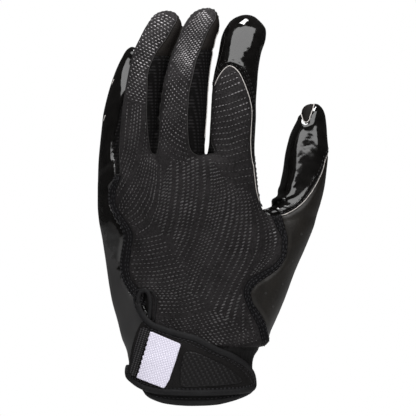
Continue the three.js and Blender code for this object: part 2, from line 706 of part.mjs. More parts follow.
// level cut between a smooth tip piece and the mesh below it
function tipCut(rows, seam, index) {
  const from = seamPlace(rows, seam, index) - WALL;
  const row = rowAt(rows, seam[index][0] * LENGTH);
  return levelCut(row[0], from, row[2] + GAP, row[3] - row[4] * 1.2, row[3] + row[4] * 1.2);
}

const cuts = [
  sideCut(littleRows, LITTLE_FRONT_SEAM, REACH),
  sideCut(littleRows, LITTLE_REAR_SEAM, REACH),
  sideCut(ringRows, RING_LEFT_SEAM, REACH),
  sideCut(ringRows, RING_LEFT_REAR_SEAM, REACH),
  sideCut(ringRows, RING_RIGHT_SEAM, REACH),
  sideCut(ringRows, RING_RIGHT_REAR_SEAM, REACH),
  sideCut(middleRows, MIDDLE_LEFT_SEAM, REACH),
  sideCut(middleRows, MIDDLE_LEFT_REAR_SEAM, REACH),
  sideCut(middleRows, MIDDLE_RIGHT_SEAM, REACH),
  sideCut(middleRows, MIDDLE_RIGHT_REAR_SEAM, REACH),
  sideCut(indexRows, INDEX_LEFT_SEAM, REACH),
  sideCut(indexRows, INDEX_LEFT_REAR_SEAM, REACH),
  sideCut(indexRows, CAP_LEFT_SEAM, REACH),
  sideCut(indexRows, CAP_RIGHT_SEAM, REACH),
  sideCut(palmRows, EDGE_RIGHT_SEAM, REACH),
  sideCut(thumbRows, THUMB_SIDE_SEAM, REACH),
  webCut(
    [littleRows, LITTLE_FRONT_SEAM, LITTLE_REAR_SEAM],
    [ringRows, RING_LEFT_SEAM, RING_LEFT_REAR_SEAM],
  ),
  webCut(
    [ringRows, RING_RIGHT_SEAM, RING_RIGHT_REAR_SEAM],
    [middleRows, MIDDLE_LEFT_SEAM, MIDDLE_LEFT_REAR_SEAM],
  ),
  webCut(
    [middleRows, MIDDLE_RIGHT_SEAM, MIDDLE_RIGHT_REAR_SEAM],
    [indexRows, INDEX_LEFT_SEAM, INDEX_LEFT_REAR_SEAM],
  ),
  tipCut(ringRows, RING_RIGHT_SEAM, 5),
  tipCut(middleRows, MIDDLE_RIGHT_SEAM, 5),
  frontCut(front(BAND_OUTER_EDGE), middleDepth),
  frontCut(front(BAND_OUTER_LINE), middleDepth),
  frontCut(front(BAND_INNER_EDGE), middleDepth),
  frontCut(front(BAND_INNER_LINE), middleDepth),
  frontCut(front(SLIT_TAIL), middleDepth),
  prism(ribbonOutline(front(THUMB_PATCH_EDGE), GAP)),
  prism(ribbonOutline(front(THUMB_SEAM), GAP)),
  prism(ribbonOutline(front(HAND_HEM), GAP)),
  prism(front(SLIT), -2 * DEPTH, 0),
  underHem,
  hemSeat,
];
const panels = shell.subtract(union(cuts)).asOriginal().simplify(FLATNESS);

// separate solids of a cut shell as lists of points and faces
function separate(whole) {
  const mesh = whole.getMesh();
  const step = mesh.numProp;
  const owner = Array.from({ length: mesh.vertProperties.length / step }, (_, i) => i);
  const find = (i) => {
    let root = i;
    while (owner[root] !== root) root = owner[root];
    while (owner[i] !== root) [owner[i], i] = [root, owner[i]];
    return root;
  };
  for (let i = 0; i < mesh.mergeFromVert.length; i += 1) {
    owner[find(mesh.mergeFromVert[i])] = find(mesh.mergeToVert[i]);
  }
  for (let i = 0; i < mesh.triVerts.length; i += 3) {
    owner[find(mesh.triVerts[i + 1])] = find(mesh.triVerts[i]);
    owner[find(mesh.triVerts[i + 2])] = find(mesh.triVerts[i]);
  }
  const groups = new Map();
  for (let i = 0; i < mesh.triVerts.length; i += 3) {
    const root = find(mesh.triVerts[i]);
    if (!groups.has(root)) groups.set(root, []);
    groups.get(root).push([mesh.triVerts[i], mesh.triVerts[i + 1], mesh.triVerts[i + 2]]);
  }
  return [...groups.values()].map((faces) => {
    const used = new Map();
    const points = [];
    const list = faces.map((face) => face.map((v) => {
      if (!used.has(v)) {
        used.set(v, points.length);
        points.push(Array.from(mesh.vertProperties.slice(v * step, v * step + 3)));
      }
      return used.get(v);
    }));
    return { points, faces: list };
  });
}

const parts = separate(panels);
const surfacePoint = (rows, across, up, face, grow = 0) => {
  const z = up * LENGTH;
  const x = across * SPREAD;
  const row = rowAt(rows, z);
  const a = (row[2] - row[1]) / 2 + grow;
  const u = THREE.MathUtils.clamp((x - (row[1] + row[2]) / 2) / a, -1, 1);
  const v = (1 - Math.abs(u) ** ROUND) ** (1 / ROUND);
  return [x, row[3] + face * (row[4] + grow) * v + (row[5] ?? 0) * u + (row[6] ?? 0) * u * u, z];
};

// Finishes: colour, roughness
const FINISHES = {
  grip: [0x221e1d, 0.12],
  knit: [0x2a2729, 0.7],
  band: [0x2c2d31, 0.55],
  mesh: [0x1f1d1f, 0.85],
  smooth: [0x2b2927, 0.6],
  side: [0x262320, 0.42],
  cuff: [0x1c1b1c, 0.85],
  binding: [0x232224, 0.65],
  strap: [0x1b1a1b, 0.6],
  weave: [0xe5e1ec, 0.8],
  pad: [0x211f20, 0.5],
  ribbed: [0x111011, 0.7],
};
const FINISH_OF = {
  palm: 'grip',
  hand_back: 'knit',
  seam_band_outer: 'band',
  seam_band_inner: 'band',
  thumb_panel: 'side',
  thumb: 'grip',
  thumb_patch: 'smooth',
  fourchette_little_ring: 'mesh',
  fourchette_ring_middle: 'mesh',
  fourchette_middle_index: 'mesh',
  tip_side_ring: 'smooth',
  tip_side_middle: 'smooth',
  cuff: 'cuff',
  cuff_binding: 'binding',
  strap_binding: 'binding',
  slit_binding: 'binding',
  strap: 'strap',
  strap_patch: 'weave',
  strap_pad: 'pad',
  hook_edge: 'ribbed',
};

const glove = new THREE.Group();
glove.name = 'receiver_glove';

function add(name, item) {
  const [color, roughness] = FINISHES[FINISH_OF[name]];
  const geometry = new THREE.BufferGeometry();
  geometry.setAttribute('position', new THREE.Float32BufferAttribute(item.points.flat(), 3));
  geometry.setIndex(item.faces.flat());
  geometry.computeVertexNormals();
  const material = new THREE.MeshStandardMaterial({ color, roughness, metalness: 0 });
  const mesh = new THREE.Mesh(geometry, material);
  mesh.name = name;
  glove.add(mesh);
}

const taken = new Set();
PANELS.forEach(([name, rows, across, up, face]) => {
  const [x, y, z] = surfacePoint(rows, across, up, face);
  let best = null;
  let nearest = Infinity;
  parts.forEach((item, index) => {
    item.faces.forEach((corner) => {
      const mid = [0, 1, 2].map((k) => (
        item.points[corner[0]][k] + item.points[corner[1]][k] + item.points[corner[2]][k]) / 3);
      [mid, ...corner.map((c) => item.points[c])].forEach((p) => {
        const far = Math.hypot(p[0] - x, p[1] - y, p[2] - z);
        if (far < nearest) {
          nearest = far;
          best = index;
        }
      });
    });
  });
  taken.add(best);
  add(name, parts[best]);
});

// Wrist pieces, laid over the cuff
const wristRows = palmRows.slice(0, 8);
const sleeve = (from, thick) => loft(wristRows, PALM_SIDES, from + thick).subtract(
  loft(wristRows.map((row, i) => (i === 0 ? [row[0] - WALL, ...row.slice(1)] : row))
    .map((row, i, all) => (i === all.length - 1 ? [row[0] + WALL, ...row.slice(1)] : row)),
  PALM_SIDES, from));
const onTop = GAP + STRAP_THICK + GAP;
const bindingLevel = GAP + BINDING;
const over = (line, grow) => line.map(([across, up]) => surfacePoint(palmRows, across, up, -1, grow));

const strapBindingLine = over(BINDING_LINE, bindingLevel);
const slitLine = over(SLIT_LINE, bindingLevel);
const whole = (item) => {
  const bodies = separate(item.asOriginal().simplify(FLATNESS));
  return bodies.sort((a, b) => b.faces.length - a.faces.length)[0];
};
const strapBinding = bar(strapBindingLine, BINDING, false);
const slitBinding = bar(slitLine, BINDING, false);
const clear = union([
  hemSeat,
  bar(strapBindingLine, BINDING + GAP, false),
  bar(slitLine, BINDING + GAP, false),
]);

const strap = sleeve(GAP, STRAP_THICK)
  .intersect(prism(front(STRAP), -2 * DEPTH, STRAP_END * DEPTH))
  .subtract(clear);
const patch = sleeve(onTop, PATCH_THICK).intersect(prism(front(PATCH), -2 * DEPTH, 0)).subtract(clear);
const pad = sleeve(onTop, PAD_THICK).intersect(prism(front(PAD), -2 * DEPTH, 0)).subtract(clear);
const hook = sleeve(onTop, HOOK_THICK)
  .intersect(prism(front(HOOK), -2 * DEPTH, STRAP_END * DEPTH))
  .subtract(clear);

add('cuff_binding', whole(hem));
add('strap_binding', whole(strapBinding));
add('slit_binding', whole(slitBinding));
add('strap', whole(strap));
add('strap_patch', whole(patch));
add('strap_pad', whole(pad));
add('hook_edge', whole(hook));

export default glove;
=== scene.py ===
import math
import random

import bmesh
import bpy
import numpy as np
from mathutils import Matrix, Vector, noise
from mathutils.bvhtree import BVHTree
from mathutils.kdtree import KDTree


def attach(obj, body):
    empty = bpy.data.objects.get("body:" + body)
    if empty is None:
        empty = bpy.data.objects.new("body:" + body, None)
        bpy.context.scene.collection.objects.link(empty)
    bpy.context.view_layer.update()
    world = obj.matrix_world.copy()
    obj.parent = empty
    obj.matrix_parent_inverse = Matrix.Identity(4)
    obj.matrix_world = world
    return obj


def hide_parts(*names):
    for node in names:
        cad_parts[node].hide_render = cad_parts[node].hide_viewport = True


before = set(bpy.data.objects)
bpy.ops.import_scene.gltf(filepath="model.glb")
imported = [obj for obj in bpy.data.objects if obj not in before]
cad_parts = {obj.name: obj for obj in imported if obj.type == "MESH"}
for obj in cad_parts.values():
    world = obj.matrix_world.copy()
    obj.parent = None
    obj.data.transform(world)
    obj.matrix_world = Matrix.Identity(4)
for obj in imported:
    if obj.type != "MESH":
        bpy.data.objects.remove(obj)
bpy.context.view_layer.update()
random.seed(7)

# Units, and the pixel grid of the front view onto the back of the hand
MM = 0.001
PIXEL = 0.55 * MM
CENTRE_COLUMN = 193      # pixel column over the centre of the wrist opening
HEM_ROW = 405            # pixel row of the lowest point of the hem
FRAME_PIXELS = 416
IN_FRONT = -0.1          # depth from which lines of sight start
INWARD = Vector((0, 1, 0))

# Cloth and seam sizes
FORM_GRAIN = 0.9 * MM
FORM_SMOOTHING = 5
FORM_GROWTH = 0.25 * MM  # made up for what the smoothing takes off
WALL = 1.3 * MM
SEAM_DEPTH = 0.5 * MM
SEAM_HALF_WIDTH = 1.0 * MM
BAND_PUFF = 0.35 * MM
STITCH_LENGTH = 1.5 * MM
STITCH_PITCH = 2.3 * MM
STITCH_WIDTH = 0.42 * MM
STITCH_LIFT = 0.12 * MM
STITCH_SIZE = (STITCH_LENGTH, STITCH_WIDTH, STITCH_WIDTH)
EDGE_PITCH = 1.2 * MM
ROUND = 2.35             # squareness of the sections, 2 is an ellipse

# Sections of the filled glove: pixel row, left and right pixel column, then in millimetres
# the depth of the middle, half depth, and lean and arch where a section has them
HAND = (
    (409, 133, 252, 0, 20.5, 0, 0), (385, 131, 252, 0, 21, 0, .5), (362, 129.5, 251.5, 0, 20.5, 0, 1.5),
    (350, 127, 257, 0, 20, -.5, 2.5), (338, 122, 267, 0, 19.5, -1, 3.5), (320, 117.5, 273, .5, 19, -2, 4.5),
    (298, 111.5, 279, .5, 18.5, -3.5, 6), (270, 106.5, 283, 1, 18, -4.5, 7.5),
    (240, 102.5, 279, 0, 17.5, -5, 8), (218, 98.5, 268, -1, 16.5, -6, 8.5),
    (204, 97.5, 260.5, -2, 15.5, -6.6, 9), (186, 97.7, 257.5, -3, 14, -7, 9),
    (174, 99.5, 256, -3.3, 13, -7, 9), (165, 108, 254, -3.5, 12, -6, 7.5),
    (159, 118, 250, -3.5, 10.5, -5, 6), (156, 126, 244, -3.5, 8, -4, 5),
)
RING = (
    (10.6, 165.5, 169, 12.2, .8), (12, 159.5, 174.5, 12, 4), (15, 154.5, 177.6, 11.6, 6.2),
    (20, 150.5, 180.4, 11, 7.8), (28, 145, 181.6, 9.8, 8.9), (38, 140, 178.3, 8.2, 9.3),
    (50, 134.2, 172.4, 6.6, 9.5), (62, 130.8, 168.4, 5.2, 9.6), (76, 127.8, 164.6, 3.8, 9.7),
    (100, 123.6, 160.4, 2.2, 9.8), (128, 120.6, 157.4, .9, 10.2), (152, 118, 155.2, .4, 10.8),
    (176, 115.5, 156, .6, 11.6), (206, 119, 158, 1.2, 12),
)
MIDDLE = (
    (7.6, 205.5, 209.5, 9.6, .8), (9, 199.5, 213.5, 9.4, 4), (12, 194, 216.2, 9, 6),
    (17, 189.4, 218.6, 8.4, 8), (26, 184, 219.2, 7, 9.4), (38, 179.6, 216, 5, 10),
    (52, 173.2, 212.4, 3.2, 10.4), (66, 169, 209.8, 1.5, 10.7), (84, 164.6, 207.8, -.4, 11),
    (108, 160.8, 206.7, -2, 11.5), (132, 158.2, 205.5, -3.2, 12), (156, 154.6, 204, -3.8, 12.4),
    (176, 153, 206, -3.8, 12.7), (206, 155, 208, -3, 12.5),
)
INDEX = (
    (14.6, 243, 248, 11, .8), (16, 237, 254, 10.8, 4), (19, 232, 257.6, 10.4, 6.4),
    (24, 228, 262.4, 9.6, 8.2), (31, 224, 266, 8.5, 9.2), (40, 220.8, 265, 7.1, 9.8),
    (52, 218.8, 260.6, 5.4, 10.2), (66, 216, 258.3, 3.8, 10.4), (84, 212.9, 257, 2.2, 10.8),
    (108, 211.3, 255.8, .6, 11.3), (132, 210.1, 254.8, -.6, 11.8), (156, 208, 254.8, -1.2, 12.3),
    (176, 206.5, 256, -1.3, 12.7), (206, 211, 259.5, -1, 12.5),
)
LITTLE = (
    (46.6, 130, 134, 25, .8, 0), (48, 127.4, 137.2, 24.9, 3.2, -.5), (51, 124.2, 140.8, 24.6, 5.2, -1),
    (57, 120.4, 144, 24.2, 7, -1.5), (66, 116.6, 145.6, 23.6, 7.9, -1.8), (80, 111.8, 143.8, 22.6, 8.4, -2),
    (98, 106.6, 139.4, 21.8, 8.8, -2), (118, 102.4, 135.6, 20.8, 9, -2), (142, 100, 133, 19.4, 9.2, -2),
    (164, 98.6, 131.6, 17.2, 9.7, -2), (184, 98, 131.6, 13.8, 10.5, -2), (206, 98.2, 133, 11, 10.1, -2),
    (224, 101, 130, 12, 7.4, -1),
)
THUMB = (
    (103.6, 311, 315.5, 19.4, .8), (105, 307, 319, 19.2, 3.2), (108, 304, 322.8, 18.9, 5),
    (114, 301.4, 325.6, 18.4, 6.8), (124, 296, 327, 17.8, 8.2), (136, 290, 327.8, 17, 9.4),
    (150, 287, 328.8, 16.2, 10.3), (168, 284.6, 327, 15.2, 11.2), (186, 280.4, 324.6, 14, 12),
    (202, 273.6, 320.6, 12.8, 13), (211, 266, 317.6, 12, 13.8), (216, 254, 316, 11.6, 14.2),
    (224, 243, 314, 10.8, 14.8), (236, 232, 309.6, 9.6, 15.6), (250, 224, 304, 8.4, 16.2),
    (275, 216, 293.4, 6.4, 16.8), (300, 209, 283.6, 4.4, 17), (325, 205, 273, 2.4, 17),
    (345, 201, 263, 1, 17),
)

# Finger seams: pixel row, share of the half width from the core, face (-1 the back, 1 the palm)
LITTLE_FRONT = ((44, .9, -1), (50, .85, -1), (57, .6, -1), (66, .42, -1), (80, .25, -1), (100, .06, -1),
                (112, -.036, -1), (125, -.077, -1), (138, -.164, -1), (160, -.094, -1), (178, -.041, -1))
LITTLE_REAR = ((44, .9, -1), (50, .93, -1), (57, 1, 1), (66, .96, 1), (100, .9, 1), (142, .8, 1),
               (164, .5, 1), (178, -.041, 1))
RING_LEFT = ((7, -.93, -1), (13, -.95, -1), (20, -1, -1), (125, -1, -1), (150, -.95, -1), (165, -.85, -1),
             (178, -.739, -1))
RING_LEFT_REAR = ((7, -.93, -1), (13, -.95, -1), (20, -1, 1), (30, -.95, 1), (50, -.86, 1), (105, -.7, 1),
                  (138, -.1, 1), (178, -.05, 1))
RING_RIGHT = ((7, .93, -1), (13, .92, -1), (20, .786, -1), (28, .497, -1), (40, .409, -1), (54, .207, -1),
              (71, .086, -1), (90, .231, -1), (125, .45, -1), (142, .572, -1), (156, .5, -1), (162, .5, -1))
RING_RIGHT_REAR = ((7, .93, -1), (13, .96, -1), (20, 1, 1), (28, .97, 1), (40, .94, 1), (71, .92, 1),
                   (125, .9, 1), (142, .8, 1), (156, .5, 1), (162, .5, 1))
MIDDLE_LEFT = ((4, -.93, -1), (10, -.95, -1), (17, -1, -1), (120, -1, -1), (142, -.92, -1), (156, -.68, -1),
               (162, -.68, -1))
MIDDLE_LEFT_REAR = ((4, -.93, -1), (10, -.95, -1), (17, -1, 1), (30, -.95, 1), (50, -.88, 1), (125, -.86, 1),
                    (142, -.84, 1), (156, -.68, 1), (162, -.68, 1))
MIDDLE_RIGHT = ((4, .97, -1), (10, .94, -1), (16, .876, -1), (30, .476, -1), (43, .416, -1), (51, .382, -1),
                (64, .292, -1), (77, .274, -1), (93, .196, -1), (112, .211, -1), (144, .309, -1),
                (152, .443, -1), (156, .56, -1), (162, .56, -1))
MIDDLE_RIGHT_REAR = ((4, .97, -1), (10, .97, -1), (16, 1, 1), (30, .985, 1), (43, .98, 1), (93, .98, 1),
                     (138, .93, 1), (154, .56, 1), (162, .56, 1))
INDEX_LEFT = ((10, -.9, -1), (17, -.95, -1), (24, -1, -1), (120, -1, -1), (142, -.93, -1), (154, -.7, -1),
              (162, -.7, -1))
INDEX_LEFT_REAR = ((10, -.9, -1), (17, -.95, -1), (24, -1, 1), (36, -.95, 1), (60, -.9, 1), (125, -.88, 1),
                   (142, -.85, 1), (154, -.7, 1), (162, -.7, 1))

# Seam lines of the view onto the back: pixel column, pixel row
CAP_ARCH = ((212, 90), (214.4, 85), (216.6, 80), (221.4, 72), (225.6, 67.6), (229.4, 65.4), (234.2, 67.4),
            (239, 72), (244.6, 83.3), (250.3, 99.4), (252.4, 112), (251.5, 128), (250.9, 144), (252, 157),
            (254.8, 168), (258, 180))
BAND_OUTER_EDGE = ((114, 160), (114, 174.5), (113.5, 178), (108, 190), (107.6, 199), (112.6, 214),
                   (121, 229.4), (123, 238), (121, 250), (119.2, 264), (121, 276.6), (127.7, 290), (136, 300),
                   (143.5, 306), (151, 316), (152.6, 330), (154, 352))
BAND_OUTER_LINE = ((121.2, 160), (121.2, 174.5), (120, 178), (115.4, 190), (114.8, 201), (120, 214),
                   (128.7, 226), (132.5, 236), (130.6, 250), (128.7, 267), (130.6, 278.5), (137, 288),
                   (143.5, 298), (146, 306), (151, 316), (152.6, 330), (154, 352))
BAND_INNER_LINE = ((268, 206), (271, 213.6), (273, 219), (276, 226), (282, 240), (281.4, 254), (273.6, 265),
                   (260.6, 273), (248.6, 280), (243.6, 292), (247.6, 306), (255, 320), (260, 332),
                   (260.6, 352))
BAND_INNER_EDGE = ((277, 206), (280.6, 213.6), (284.5, 226), (288, 240), (286.7, 255), (279, 267.6),
                   (266.8, 276.8), (256, 285), (250.9, 293.6), (253.7, 303.6), (260.6, 313.5), (266.4, 324),
                   (268, 332), (267.4, 352))
THUMB_SEAM = ((258, 205), (263, 210), (267, 214), (273, 215.6), (282, 215.3), (293.6, 210.2), (302.8, 203.3),
              (310.8, 194), (318, 182), (324, 170), (327, 158), (333, 146))
THUMB_PATCH = ((296, 100), (301.5, 113), (303, 119), (306.2, 122.6), (308.6, 121.5), (310.5, 115), (313, 108),
               (316, 98))
SLIT = ((143, 300), (143.4, 294), (144.8, 291.4), (146.8, 293), (147.4, 301), (148.4, 308), (150, 315),
        (147, 313), (144.2, 307))
SLIT_TOP = 285
HAND_HEM = ((90, 372), (128, 372), (138, 368), (148, 356), (158, 347.5), (170, 346.8), (300, 346.8))
HEM = ((112, 374), (128, 379), (137, 383), (143, 388), (149, 396.4), (157, 400.4), (165, 402.7), (178, 404.4),
       (190, 405), (204, 404.8), (216, 404), (228, 401.6), (240, 398), (248, 394.4), (256, 389), (274, 380))
TIP_SIDE_ROWS = {"ring": 56, "middle": 50}
# Rounded lower ends of the side strips, seen on the back and on the palm side
WEB_ROW = 120
WEB_ENDS = {
    "fourchette_ring_middle": (
        ((147.4, 105), (147.5, 120), (148.7, 132), (150.2, 143), (151.6, 150), (153, 153), (154.6, 153.8),
         (156, 152.4), (157.2, 147), (158.4, 133), (159.5, 120), (161, 105)),
        ((158.2, 105), (156.4, 120), (155.2, 134), (154.6, 146), (155.4, 152), (157.6, 154.6), (160.6, 152.6),
         (162, 146), (162.4, 134), (162.7, 120), (163.9, 105))),
    "fourchette_middle_index": (
        ((188.4, 105), (188.1, 120), (188.5, 134), (189.4, 144), (191, 149.6), (194.4, 153.4), (199, 155),
         (204, 154), (207.2, 150.4), (209.2, 142), (210.7, 120), (211.5, 105)),
        ((206.2, 105), (205.3, 120), (204.2, 136), (202.6, 146), (203, 152), (206, 155), (209.6, 153.6),
         (211.8, 147), (212.9, 136), (213.3, 120), (214, 105))),
}
WEB_LAST_COLUMN = 216
CAP_ROW = 65.4
CROTCH_ROW = 163
OUTER_STRIP_COLUMN = 125   # the strip beside the little finger reaches lower on this side of the column
OUTER_STRIP_DROP = 11
OUTER_BAND_ROW = 176
THUMB_REGION = (262, 190)  # the thumb's panels start past this column and row
THUMB_COLUMN = 257
PATCH_COLUMNS = (296, 316)


def across(column):
    return (column - CENTRE_COLUMN) * PIXEL


def up(row):
    return (HEM_ROW - row) * PIXEL


def column_of(x):
    return CENTRE_COLUMN + x / PIXEL


def row_of(z):
    return HEM_ROW - z / PIXEL


class Track:
    """Columns of a table on smooth curves over its first column, sampled for quick reading."""

    STEP = 0.5

    def __init__(self, rows):
        rows = sorted(rows)
        self.low = rows[0][0]
        self.high = rows[-1][0]
        steps = int((self.high - self.low) / self.STEP) + 2
        self.samples = [self.curve(rows, self.low + i * self.STEP) for i in range(steps)]

    @staticmethod
    def curve(rows, place):
        place = min(max(place, rows[0][0]), rows[-1][0])
        i = next(k for k in range(1, len(rows)) if place <= rows[k][0])
        a, b = rows[i - 1], rows[i]
        before = rows[max(i - 2, 0)]
        after = rows[min(i + 1, len(rows) - 1)]
        span = b[0] - a[0]
        t = (place - a[0]) / span
        out = []
        for k in range(1, len(a)):
            middle = (b[k] - a[k]) / span
            first = (a[k] - before[k]) / (a[0] - before[0]) if before is not a else middle
            last = (after[k] - b[k]) / (after[0] - b[0]) if after is not b else middle
            start = 0 if first * middle <= 0 else 2 * first * middle / (first + middle)
            end = 0 if last * middle <= 0 else 2 * last * middle / (last + middle)
            out.append((2 * t ** 3 - 3 * t ** 2 + 1) * a[k] + (t ** 3 - 2 * t ** 2 + t) * span * start
                       + (3 * t ** 2 - 2 * t ** 3) * b[k] + (t ** 3 - t ** 2) * span * end)
        return out

    def at(self, place):
        spot = (min(max(place, self.low), self.high) - self.low) / self.STEP
        i = min(int(spot), len(self.samples) - 2)
        t = spot - i
        return [p + (q - p) * t for p, q in zip(self.samples[i], self.samples[i + 1])]


def filled(rows):
    return Track([tuple(row) + (0,) * (7 - len(row)) for row in rows])


TUBES = {"hand": filled(HAND), "ring": filled(RING), "middle": filled(MIDDLE), "index": filled(INDEX),
         "little": filled(LITTLE), "thumb": filled(THUMB)}


def swapped(line):
    return Track([(row, column) for column, row in line])


def seam_turn(side, face, left):
    """Angle round a section of a seam place, from the thumb side through the palm."""
    depth = face * max(1 - abs(side) ** ROUND, 0) ** (1 / ROUND)
    turn = math.atan2(math.copysign(abs(depth) ** (ROUND / 2), depth),
                      math.copysign(abs(side) ** (ROUND / 2), side))
    return turn % (2 * math.pi) if left else turn


def seam_track(rows, left=False):
    return Track([(row, seam_turn(side, face, left)) for row, side, face in rows])


SEAMS = {
    "little": (seam_track(LITTLE_FRONT), seam_track(LITTLE_REAR), None, None),
    "ring": (seam_track(RING_RIGHT), seam_track(RING_RIGHT_REAR),
             seam_track(RING_LEFT, True), seam_track(RING_LEFT_REAR, True)),
    "middle": (seam_track(MIDDLE_RIGHT), seam_track(MIDDLE_RIGHT_REAR),
               seam_track(MIDDLE_LEFT, True), seam_track(MIDDLE_LEFT_REAR, True)),
    "index": (None, None, seam_track(INDEX_LEFT, True), seam_track(INDEX_LEFT_REAR, True)),
}
OUTER_EDGE, OUTER_LINE = swapped(BAND_OUTER_EDGE), swapped(BAND_OUTER_LINE)
INNER_EDGE, INNER_LINE = swapped(BAND_INNER_EDGE), swapped(BAND_INNER_LINE)
THUMB_LINE, PATCH_LINE = Track(THUMB_SEAM), Track(THUMB_PATCH)
HAND_HEM_LINE, HEM_LINE = Track(HAND_HEM), Track(HEM)
ARCH_LEFT = swapped(CAP_ARCH[:6])
ARCH_RIGHT = swapped(CAP_ARCH[5:])


def inside(outline, column, row):
    """Whether a place of the front view lies inside a closed outline."""
    odd = False
    for (x1, y1), (x2, y2) in zip(outline, outline[1:] + outline[:1]):
        if (y1 > row) != (y2 > row) and column < x1 + (x2 - x1) * (row - y1) / (y2 - y1):
            odd = not odd
    return odd


def bent(p0, p1, p2, p3, t):
    """A place between the middle two of four points, on a smooth curve through all of them."""
    return 0.5 * (2 * p1 + (p2 - p0) * t + (2 * p0 - 5 * p1 + 4 * p2 - p3) * t * t
                  + (3 * p1 - p0 - 3 * p2 + p3) * t ** 3)


def rounded(outline, steps=6):
    """A closed outline through the same points with round stretches between them."""
    out = []
    count = len(outline)
    for i in range(count):
        ends = [Vector(outline[(i + k) % count]) for k in (-1, 0, 1, 2)]
        out += [tuple(bent(*ends, s / steps)) for s in range(steps)]
    return tuple(out)


SLIT_OUTLINE = rounded(SLIT)
WEB_OUTLINES = {name: [rounded(end, 3) for end in ends] for name, ends in WEB_ENDS.items()}


def section_place(tube, column, row, depth):
    """Shares of the half width and half depth of a point in a tube's section."""
    left, right, middle, half, lean, arch = TUBES[tube].at(row)
    u = (column - (left + right) / 2) / ((right - left) / 2)
    return u, (depth / MM - middle - lean * u - arch * u * u) / half, half


def nearest_tube(column, row, depth):
    best = None
    for tube, track in TUBES.items():
        if not track.low - 3 <= row <= track.high:
            continue
        u, v, half = section_place(tube, column, row, depth)
        if abs(u) > 2.5 or abs(v) > 4:
            continue
        away = ((abs(u) ** ROUND + abs(v) ** ROUND) ** (1 / ROUND) - 1) * half
        if best is None or away < best[0]:
            best = (away, tube, u, v)
    return best[1:] if best else ("hand", *section_place("hand", column, row, depth)[:2])


def finger_panel(tube, u, v, column, row):
    turn = math.atan2(math.copysign(abs(v) ** (ROUND / 2), v), math.copysign(abs(u) ** (ROUND / 2), u))
    left_turn = turn % (2 * math.pi)
    right, right_rear, left, left_rear = SEAMS[tube]
    if tube == "little":
        strip = right.at(row)[0] < turn < right_rear.at(row)[0]
        return "fourchette_little_ring" if strip else "palm"
    if left_rear.at(row)[0] < left_turn < left.at(row)[0]:
        return {"ring": "fourchette_little_ring", "middle": "fourchette_ring_middle",
                "index": "fourchette_middle_index"}[tube]
    if tube == "index":
        if v > 0 or row < CAP_ROW or column > ARCH_RIGHT.at(row)[0]:
            return "palm"
        return "palm" if row < ARCH_LEFT.high and column < ARCH_LEFT.at(row)[0] else "hand_back"
    if right.at(row)[0] < turn < right_rear.at(row)[0]:
        if row < TIP_SIDE_ROWS[tube]:
            return "tip_side_" + tube
        return "fourchette_ring_middle" if tube == "ring" else "fourchette_middle_index"
    return "palm" if v > 0 else "hand_back"


def back_panel(column, row):
    if row > SLIT_TOP and inside(SLIT_OUTLINE, column, row):
        return "slit"
    if column < OUTER_EDGE.at(row)[0]:
        return "palm"
    if row > OUTER_BAND_ROW and column < OUTER_LINE.at(row)[0]:
        return "seam_band_outer"
    if column < INNER_LINE.at(row)[0]:
        return "hand_back"
    return "seam_band_inner" if column < INNER_EDGE.at(row)[0] else "thumb_panel"


def panel_at(point):
    """Name of the panel that covers a point of the glove's form."""
    column, row, depth = column_of(point.x), row_of(point.z), point.y
    if row > HEM_LINE.at(column)[0]:
        return "open"
    if row > HAND_HEM_LINE.at(column)[0]:
        return "cuff"
    tube, u, v = nearest_tube(column, row, depth)
    if tube == "thumb" or (column > THUMB_REGION[0] and row > THUMB_REGION[1]):
        if column > THUMB_COLUMN and row < THUMB_LINE.at(column)[0]:
            over_tip = PATCH_COLUMNS[0] < column < PATCH_COLUMNS[1] and row < PATCH_LINE.at(column)[0]
            return "thumb_patch" if over_tip and v < 0.3 else "thumb"
        if v > 0 and column > INNER_LINE.at(row)[0] - 2:
            return "palm"
    if WEB_ROW < row < CROTCH_ROW and column < WEB_LAST_COLUMN:
        for name, ends in WEB_OUTLINES.items():
            if inside(ends[1 if v > 0 else 0], column, row):
                return name
    drop = OUTER_STRIP_DROP if column < OUTER_STRIP_COLUMN and v < 0 else 0
    if row > CROTCH_ROW + drop or tube in ("hand", "thumb"):
        if tube != "thumb":
            u, v, _ = section_place("hand", column, row, depth)
        return "palm" if v > 0 else back_panel(column, row)
    if row > WEB_ROW and (tube == "middle" or tube == "ring" and u > -0.2):
        return "palm" if v > 0 else "hand_back"
    return finger_panel(tube, u, v, column, row)


# The filled form that every panel lies on

def section_point(columns, row, cosine, sine, grow=0.0):
    left, right, middle, half, lean, arch = columns
    u = math.copysign(abs(cosine) ** (2 / ROUND), cosine)
    v = math.copysign(abs(sine) ** (2 / ROUND), sine)
    wide = max((right - left) / 2 * PIXEL + grow, 0.3 * MM)
    deep = max(half * MM + grow, 0.3 * MM)
    return Vector((across((left + right) / 2) + wide * u, (middle + lean * u + arch * u * u) * MM + deep * v,
                   up(row)))


def ring_edges(ring):
    """The edges of a ring of vertices, in order."""
    return list(dict.fromkeys(edge for vert in ring for edge in vert.link_edges))


def add_ring(bm, columns, row, sides, grow=0.0):
    ring = bmesh.ops.create_circle(bm, cap_ends=False, segments=sides, radius=1)["verts"]
    for vert in ring:
        turn = math.atan2(vert.co.y, vert.co.x)
        vert.co = section_point(columns, row, math.cos(turn), math.sin(turn), grow)
    return ring_edges(ring)


def add_tube(bm, track, rows, sides, grow=0.0):
    """Rings through a table of sections, bridged one to the next."""
    rings = [add_ring(bm, track.at(row), row, sides, grow) for row in rows]
    for first, second in zip(rings, rings[1:]):
        bmesh.ops.bridge_loops(bm, edges=first + second)
    return rings


